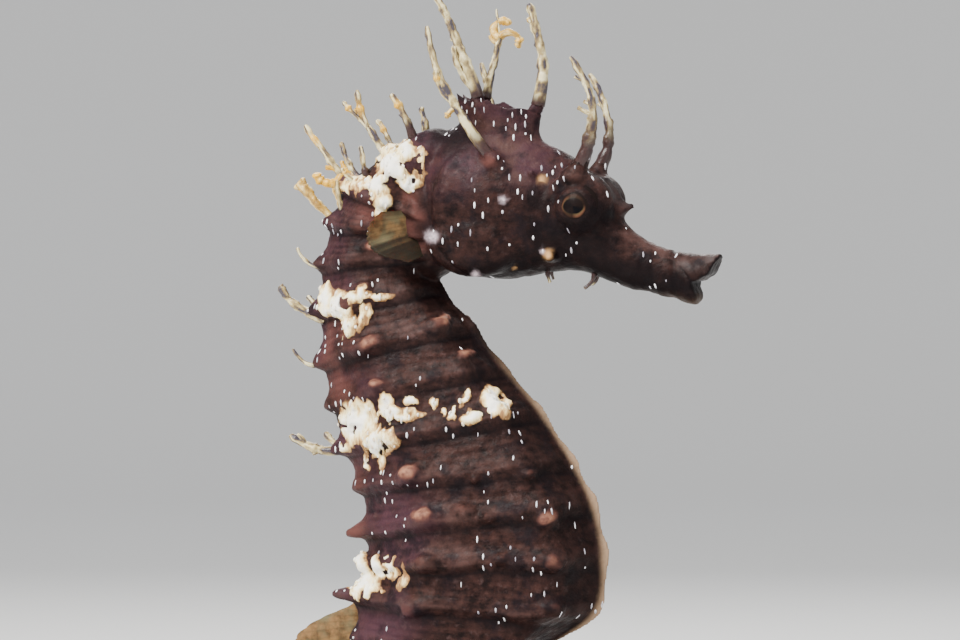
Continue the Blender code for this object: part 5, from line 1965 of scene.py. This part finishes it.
@dataclass(frozen=True)
class Scatter:
    """Small upright grains strewn over a surface by Geometry Nodes: tags of crust, or flecks."""

    name: str
    share: str
    spacing: float
    low: tuple
    high: tuple
    seed: int
    detail: int = 1
    crowding: float = 1.6

    def tree(self, material: Material) -> bpy.types.GeometryNodeTree:
        """Writes the node tree, with its sizes as named inputs."""
        group = bpy.data.node_groups.new(self.name, "GeometryNodeTree")
        for label, way, kind in (
            ("Geometry", "INPUT", "Geometry"),
            ("Spacing", "INPUT", "Float"),
            ("Share", "INPUT", "String"),
            ("Smallest", "INPUT", "Vector"),
            ("Largest", "INPUT", "Vector"),
            ("Seed", "INPUT", "Int"),
            ("Geometry", "OUTPUT", "Geometry"),
        ):
            group.interface.new_socket(label, in_out=way, socket_type=f"NodeSocket{kind}")
        nodes = group.nodes
        given, end = nodes.new("NodeGroupInput").outputs, nodes.new("NodeGroupOutput")
        mask = wire(nodes.new("GeometryNodeInputNamedAttribute"), {"Name": given["Share"]})
        square, density = nodes.new("ShaderNodeMath"), nodes.new("ShaderNodeMath")
        square.operation, density.operation = "MULTIPLY", "DIVIDE"
        wire(square, {0: given["Spacing"], 1: given["Spacing"]})
        wire(density, {0: self.crowding, 1: square.outputs[0]})
        strew = nodes.new("GeometryNodeDistributePointsOnFaces")
        strew.distribute_method = "POISSON"
        wire(strew, {"Mesh": given["Geometry"], "Seed": given["Seed"], "Distance Min": given["Spacing"]})
        wire(strew, {"Density Max": density.outputs[0], "Density Factor": mask.outputs[0]})
        size = nodes.new("FunctionNodeRandomValue")
        size.data_type = "FLOAT_VECTOR"
        wire(size, {0: given["Smallest"], 1: given["Largest"], "Seed": given["Seed"]})
        align = nodes.new("FunctionNodeAlignRotationToVector")
        align.axis, align.pivot_axis = "Y", "Z"
        wire(align, {"Vector": (0, 0, 1), "Rotation": strew.outputs["Rotation"]})
        grain = wire(nodes.new("GeometryNodeMeshIcoSphere"), {"Radius": 1.0, "Subdivisions": self.detail})
        place = wire(nodes.new("GeometryNodeInstanceOnPoints"), {"Points": strew.outputs["Points"]})
        wire(place, {"Instance": grain.outputs["Mesh"], "Scale": size.outputs[0]})
        wire(place, {"Rotation": align.outputs["Rotation"]})
        real = wire(nodes.new("GeometryNodeRealizeInstances"), {"Geometry": place.outputs["Instances"]})
        finish = wire(nodes.new("GeometryNodeSetMaterial"), {"Geometry": real.outputs["Geometry"]})
        wire(finish, {"Material": material})
        wire(end, {"Geometry": finish.outputs["Geometry"]})
        return group

    def build(self, surface: Object, material: Material, slot: Slot) -> Object:
        """Strews the grains over a piece.

        Args:
            surface: The piece that carries them.
            material: The grains' material.
            slot: Not used.

        Returns:
            The grains as one plain mesh.
        """
        carrier = linked(f"{self.name}_carrier", surface.data.copy())
        tree = self.tree(material)
        change = carrier.modifiers.new(self.name, "NODES")
        change.node_group = tree
        values = {
            "Spacing": self.spacing * MM,
            "Share": self.share,
            "Smallest": tuple(v * MM for v in self.low),
            "Largest": tuple(v * MM for v in self.high),
            "Seed": self.seed,
        }
        for item in tree.interface.items_tree:
            if item.in_out == "INPUT" and item.name in values:
                change[item.identifier] = values[item.name]
        grains = baked(carrier, self.name)
        if not grains.data.materials:
            grains.data.materials.append(material)
        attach(grains, BODY)
        return grains


@dataclass
class Stand:
    """A turned wooden base with a brass rod in a collar, measured in millimetres."""

    edge: float = 1.2
    edge_steps: int = 7
    line_depth: float = 0.5
    ring_depth: float = 0.3
    softened: float = 0.3
    collar_radius: float = 2.6
    collar_height: float = 1.4
    sharp_angle: float = 35.0
    segments: int = 144

    def turned(self, name: str, profile: Profile, centre: Vector, segments: int) -> Object:
        """Turns a profile about an upright line.

        Args:
            name: The piece's name.
            profile: Radius and height, in metres, from the bottom up.
            centre: A place on the upright line.
            segments: Points round it.

        Returns:
            The piece, which rides on the body.
        """
        angle = turns(segments)
        rows = []
        for r, z in profile:
            x, y = centre.x + r * np.cos(angle), centre.y + r * np.sin(angle)
            rows.append(np.stack([x, y, np.full(segments, z)], axis=1))
        store = MeshStore()
        store.add_tube(np.array(rows))
        piece = linked(name, store.mesh(name))
        piece.data.shade_smooth()
        piece.data.set_sharp_from_angle(angle=math.radians(self.sharp_angle))
        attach(piece, BODY)
        return piece

    def disc_profile(self, radius: float, top: float) -> Profile:
        """The base from its foot up, over its edge and in to the middle, in metres."""
        bevel, line, ring = self.edge * MM, radius - self.line_depth * MM, top - self.ring_depth * MM
        foot = [(radius - bevel * 0.6, 0.0), (radius - bevel * 0.2, bevel * 0.2), (radius, bevel * 0.7)]
        side = [(radius, top * 0.36), (line, top * 0.39), (line, top * 0.43), (radius, top * 0.46)]
        arc = []
        for a in np.linspace(math.pi / 2, 0, self.edge_steps):
            arc.append((radius - bevel * (1 - math.sin(a)), top - bevel * (1 - math.cos(a))))
        inner = [(radius * 0.9, top), (radius * 0.895, ring), (radius * 0.885, ring), (radius * 0.88, top)]
        return foot + side + arc + inner + [(0.2 * MM, top)]

    def build(self, wood: Material, brass: Material) -> list[Object]:
        """Makes the base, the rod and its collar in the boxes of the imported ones.

        Args:
            wood: The base's material.
            brass: The rod's material.

        Returns:
            The three pieces.
        """
        low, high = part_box("stand_base")
        top = high.z
        profile = self.disc_profile((high.x - low.x) / 2, top)
        base = self.turned("stand_disc", profile, (low + high) / 2, self.segments)
        base.data.materials.append(wood)
        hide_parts("stand_base")
        low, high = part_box("stand_rod")
        middle, thick, soft = (low + high) / 2, (high.x - low.x) / 2, self.softened * MM
        post = [(thick, low.z), (thick, high.z - soft), (thick - soft, high.z)]
        rod = self.turned("stand_post", post, middle, 48)
        rod.data.materials.append(brass)
        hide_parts("stand_rod")
        wide, tall = self.collar_radius * MM, self.collar_height * MM
        ring = [(wide, top), (wide, top + tall * 0.6), (wide - soft, top + tall * 0.8)]
        ring += [(thick + 0.5 * MM, top + tall), (thick, top + tall)]
        collar = self.turned("stand_collar", ring, middle, 64)
        collar.data.materials.append(brass)
        return [base, rod, collar]


def toward(azimuth: float, elevation: float) -> Vector:
    """The direction from the object to a place around it."""
    a, e = math.radians(azimuth), math.radians(elevation)
    return Vector((math.sin(a) * math.cos(e), -math.cos(a) * math.cos(e), math.sin(e)))


def stood(thing: Object, centre: Vector, back: Vector, away: float) -> Object:
    """Puts a lamp or camera some way back from a place, facing it."""
    thing.location = centre + back * away
    thing.rotation_euler = back.to_track_quat("Z", "Y").to_euler()
    bpy.context.scene.collection.objects.link(thing)
    return thing


@dataclass(frozen=True)
class Lamp:
    """A soft light: the direction it hangs in, in degrees, its distance and size in metres, and its power."""

    name: str
    azimuth: float
    elevation: float
    away: float
    size: float
    power: float
    colour: Colour

    def hang(self, centre: Vector) -> None:
        """Hangs the light so that it faces a place."""
        data = bpy.data.lights.new(self.name, "AREA")
        data.size, data.energy, data.color = self.size, self.power, self.colour
        back = toward(self.azimuth, self.elevation)
        stood(bpy.data.objects.new(self.name, data), centre, back, self.away)


@dataclass
class Studio:
    """The pale floor, the lights and the camera."""

    placement: Placement
    turn: float = 18.0
    tilt: float = 1.0
    target: tuple = (0.0, 0.0, 25.45)
    distance: float = 0.40
    width: float = 87.3
    sensor: float = 36.0
    middle: tuple = (0.0, 0.0, 20.0)
    lamps: tuple = (
        Lamp("key", 335.0, 44.0, 0.62, 0.28, 10.5, (1.0, 0.97, 0.93)),
        Lamp("fill", 62.0, 16.0, 0.75, 0.5, 1.5, (0.94, 0.97, 1.0)),
        Lamp("top", 20.0, 78.0, 0.7, 0.4, 2.4, (1.0, 1.0, 1.0)),
        Lamp("rim", 196.0, 30.0, 0.7, 0.35, 3.0, (1.0, 0.98, 0.95)),
    )
    sky: Colour = (0.92, 0.93, 0.95)
    sky_strength: float = 0.72
    floor_reach: float = 1.2
    floor_rise: float = 0.8
    floor_sides: int = 96
    floor_dim: Colour = (0.78, 0.78, 0.77)
    floor_light: Colour = (0.80, 0.80, 0.80)

    def build(self) -> None:
        """Makes the whole studio."""
        self.floor()
        self.camera()
        centre = Vector(self.placement.out(np.array(self.middle)))
        for lamp in self.lamps:
            lamp.hang(centre)
        world = bpy.data.worlds.new("studio")
        world.use_nodes = True
        wire(world.node_tree.nodes["Background"], {"Color": self.sky, "Strength": self.sky_strength})
        bpy.context.scene.world = world

    def camera(self) -> None:
        """Sets the camera level with the animal and a little towards its face."""
        data = bpy.data.cameras.new("camera")
        data.sensor_width = self.sensor
        data.lens = self.sensor * self.distance / (self.width * MM)
        data.clip_start, data.clip_end = 0.01, 20.0
        target = Vector(self.placement.out(np.array(self.target)))
        camera = bpy.data.objects.new("camera", data)
        bpy.context.scene.camera = stood(camera, target, toward(self.turn, self.tilt), self.distance)

    def floor(self) -> None:
        """Lays a wide pale floor that curves up all round, far from the object."""
        flat, rise = self.floor_reach, self.floor_rise
        profile = [(0.01, 0.0), (0.5, 0.0), (flat, 0.0)]
        for a in np.linspace(0.1, math.pi / 2, 14):
            profile.append((flat + rise * math.sin(a), rise - rise * math.cos(a)))
        form = bmesh.new()
        angles = turns(self.floor_sides)
        rows = []
        for r, z in profile:
            rows.append([form.verts.new((r * math.cos(a), r * math.sin(a), z)) for a in angles])
        form.faces.new(rows[0])
        for below, above in zip(rows, rows[1:]):
            for k in range(self.floor_sides):
                after = (k + 1) % self.floor_sides
                form.faces.new((below[after], below[k], above[k], above[after]))
        mesh = bpy.data.meshes.new("floor")
        form.to_mesh(mesh)
        form.free()
        mesh.shade_smooth()
        g = Graph("floor")
        colour = g.ramp(g.noise(400.0, 2.0), (0.3, self.floor_dim), (0.7, self.floor_light))
        g.set(Base_Color=colour, Roughness=0.7)
        mesh.materials.append(g.material)
        linked("floor", mesh)


def fans(animal: Animal) -> list[Fan]:
    """The fins of the back, the belly and the two sides of the neck."""
    made = [
        Fan(animal, "dorsal_fin", (-10.2, -4.2), (170.0, 236.0), 7.6, 8.0, 19, low_front=0.9),
        Fan(animal, "anal_fin", (0.2, -5.4), (-80.0, -25.0), 4.2, 1.8, 4),
    ]
    for side in Side:
        pectoral = Fan(
            animal,
            f"pectoral_fin_{side.label}",
            foot=(-5.0, 33.4),
            spread=(186.0, 218.0),
            reach=4.4,
            foot_length=4.4,
            rays=15,
            side=side.value,
            out=2.9,
            flare=31.0,
            web=0.08,
            ray=0.11,
            shorten=0.36,
            shaded=0.95,
            rounded=0.46,
        )
        made.append(pectoral)
    return made


def main() -> None:
    """Builds the studio, the animal and its stand, and reports each piece."""
    logging.basicConfig(level=logging.INFO, format="%(message)s")
    head = HeadForm()
    placement = Placement.from_frame(head.eye[0], head.eye[2])
    animal = Animal(BodyLine(), head, Crown(), Markings(), placement)
    Studio(placement).build()
    skin = Skin(animal).build(SkinFinish().material())
    pieces = [skin]
    eye = EyeFinish().material()
    pieces += [Eye(animal, side).build(eye) for side in Side]
    web = FinFinish().material()
    pieces += [fan.build(web) for fan in fans(animal)]
    pieces += Filaments(animal).build(FilamentFinish().material())
    tags = Scatter("crust_tags", "tag_share", 0.58, (0.09, 0.14, 0.08), (0.17, 0.42, 0.24), 5)
    pieces.append(tags.build(skin, CrustFinish().material(), Slot.SKIN))
    flecks = Scatter("flecks", "fleck_share", 0.60, (0.055, 0.13, 0.05), (0.13, 0.40, 0.08), 9)
    pieces.append(flecks.build(skin, FleckFinish().material(), Slot.SKIN))
    pieces += Stand().build(WoodFinish().material(), BrassFinish().material())
    for piece in pieces:
        piece.data.calc_loop_triangles()
        LOG.info("%s: %d triangles", piece.name, len(piece.data.loop_triangles))


if __name__ == "__main__":
    main()
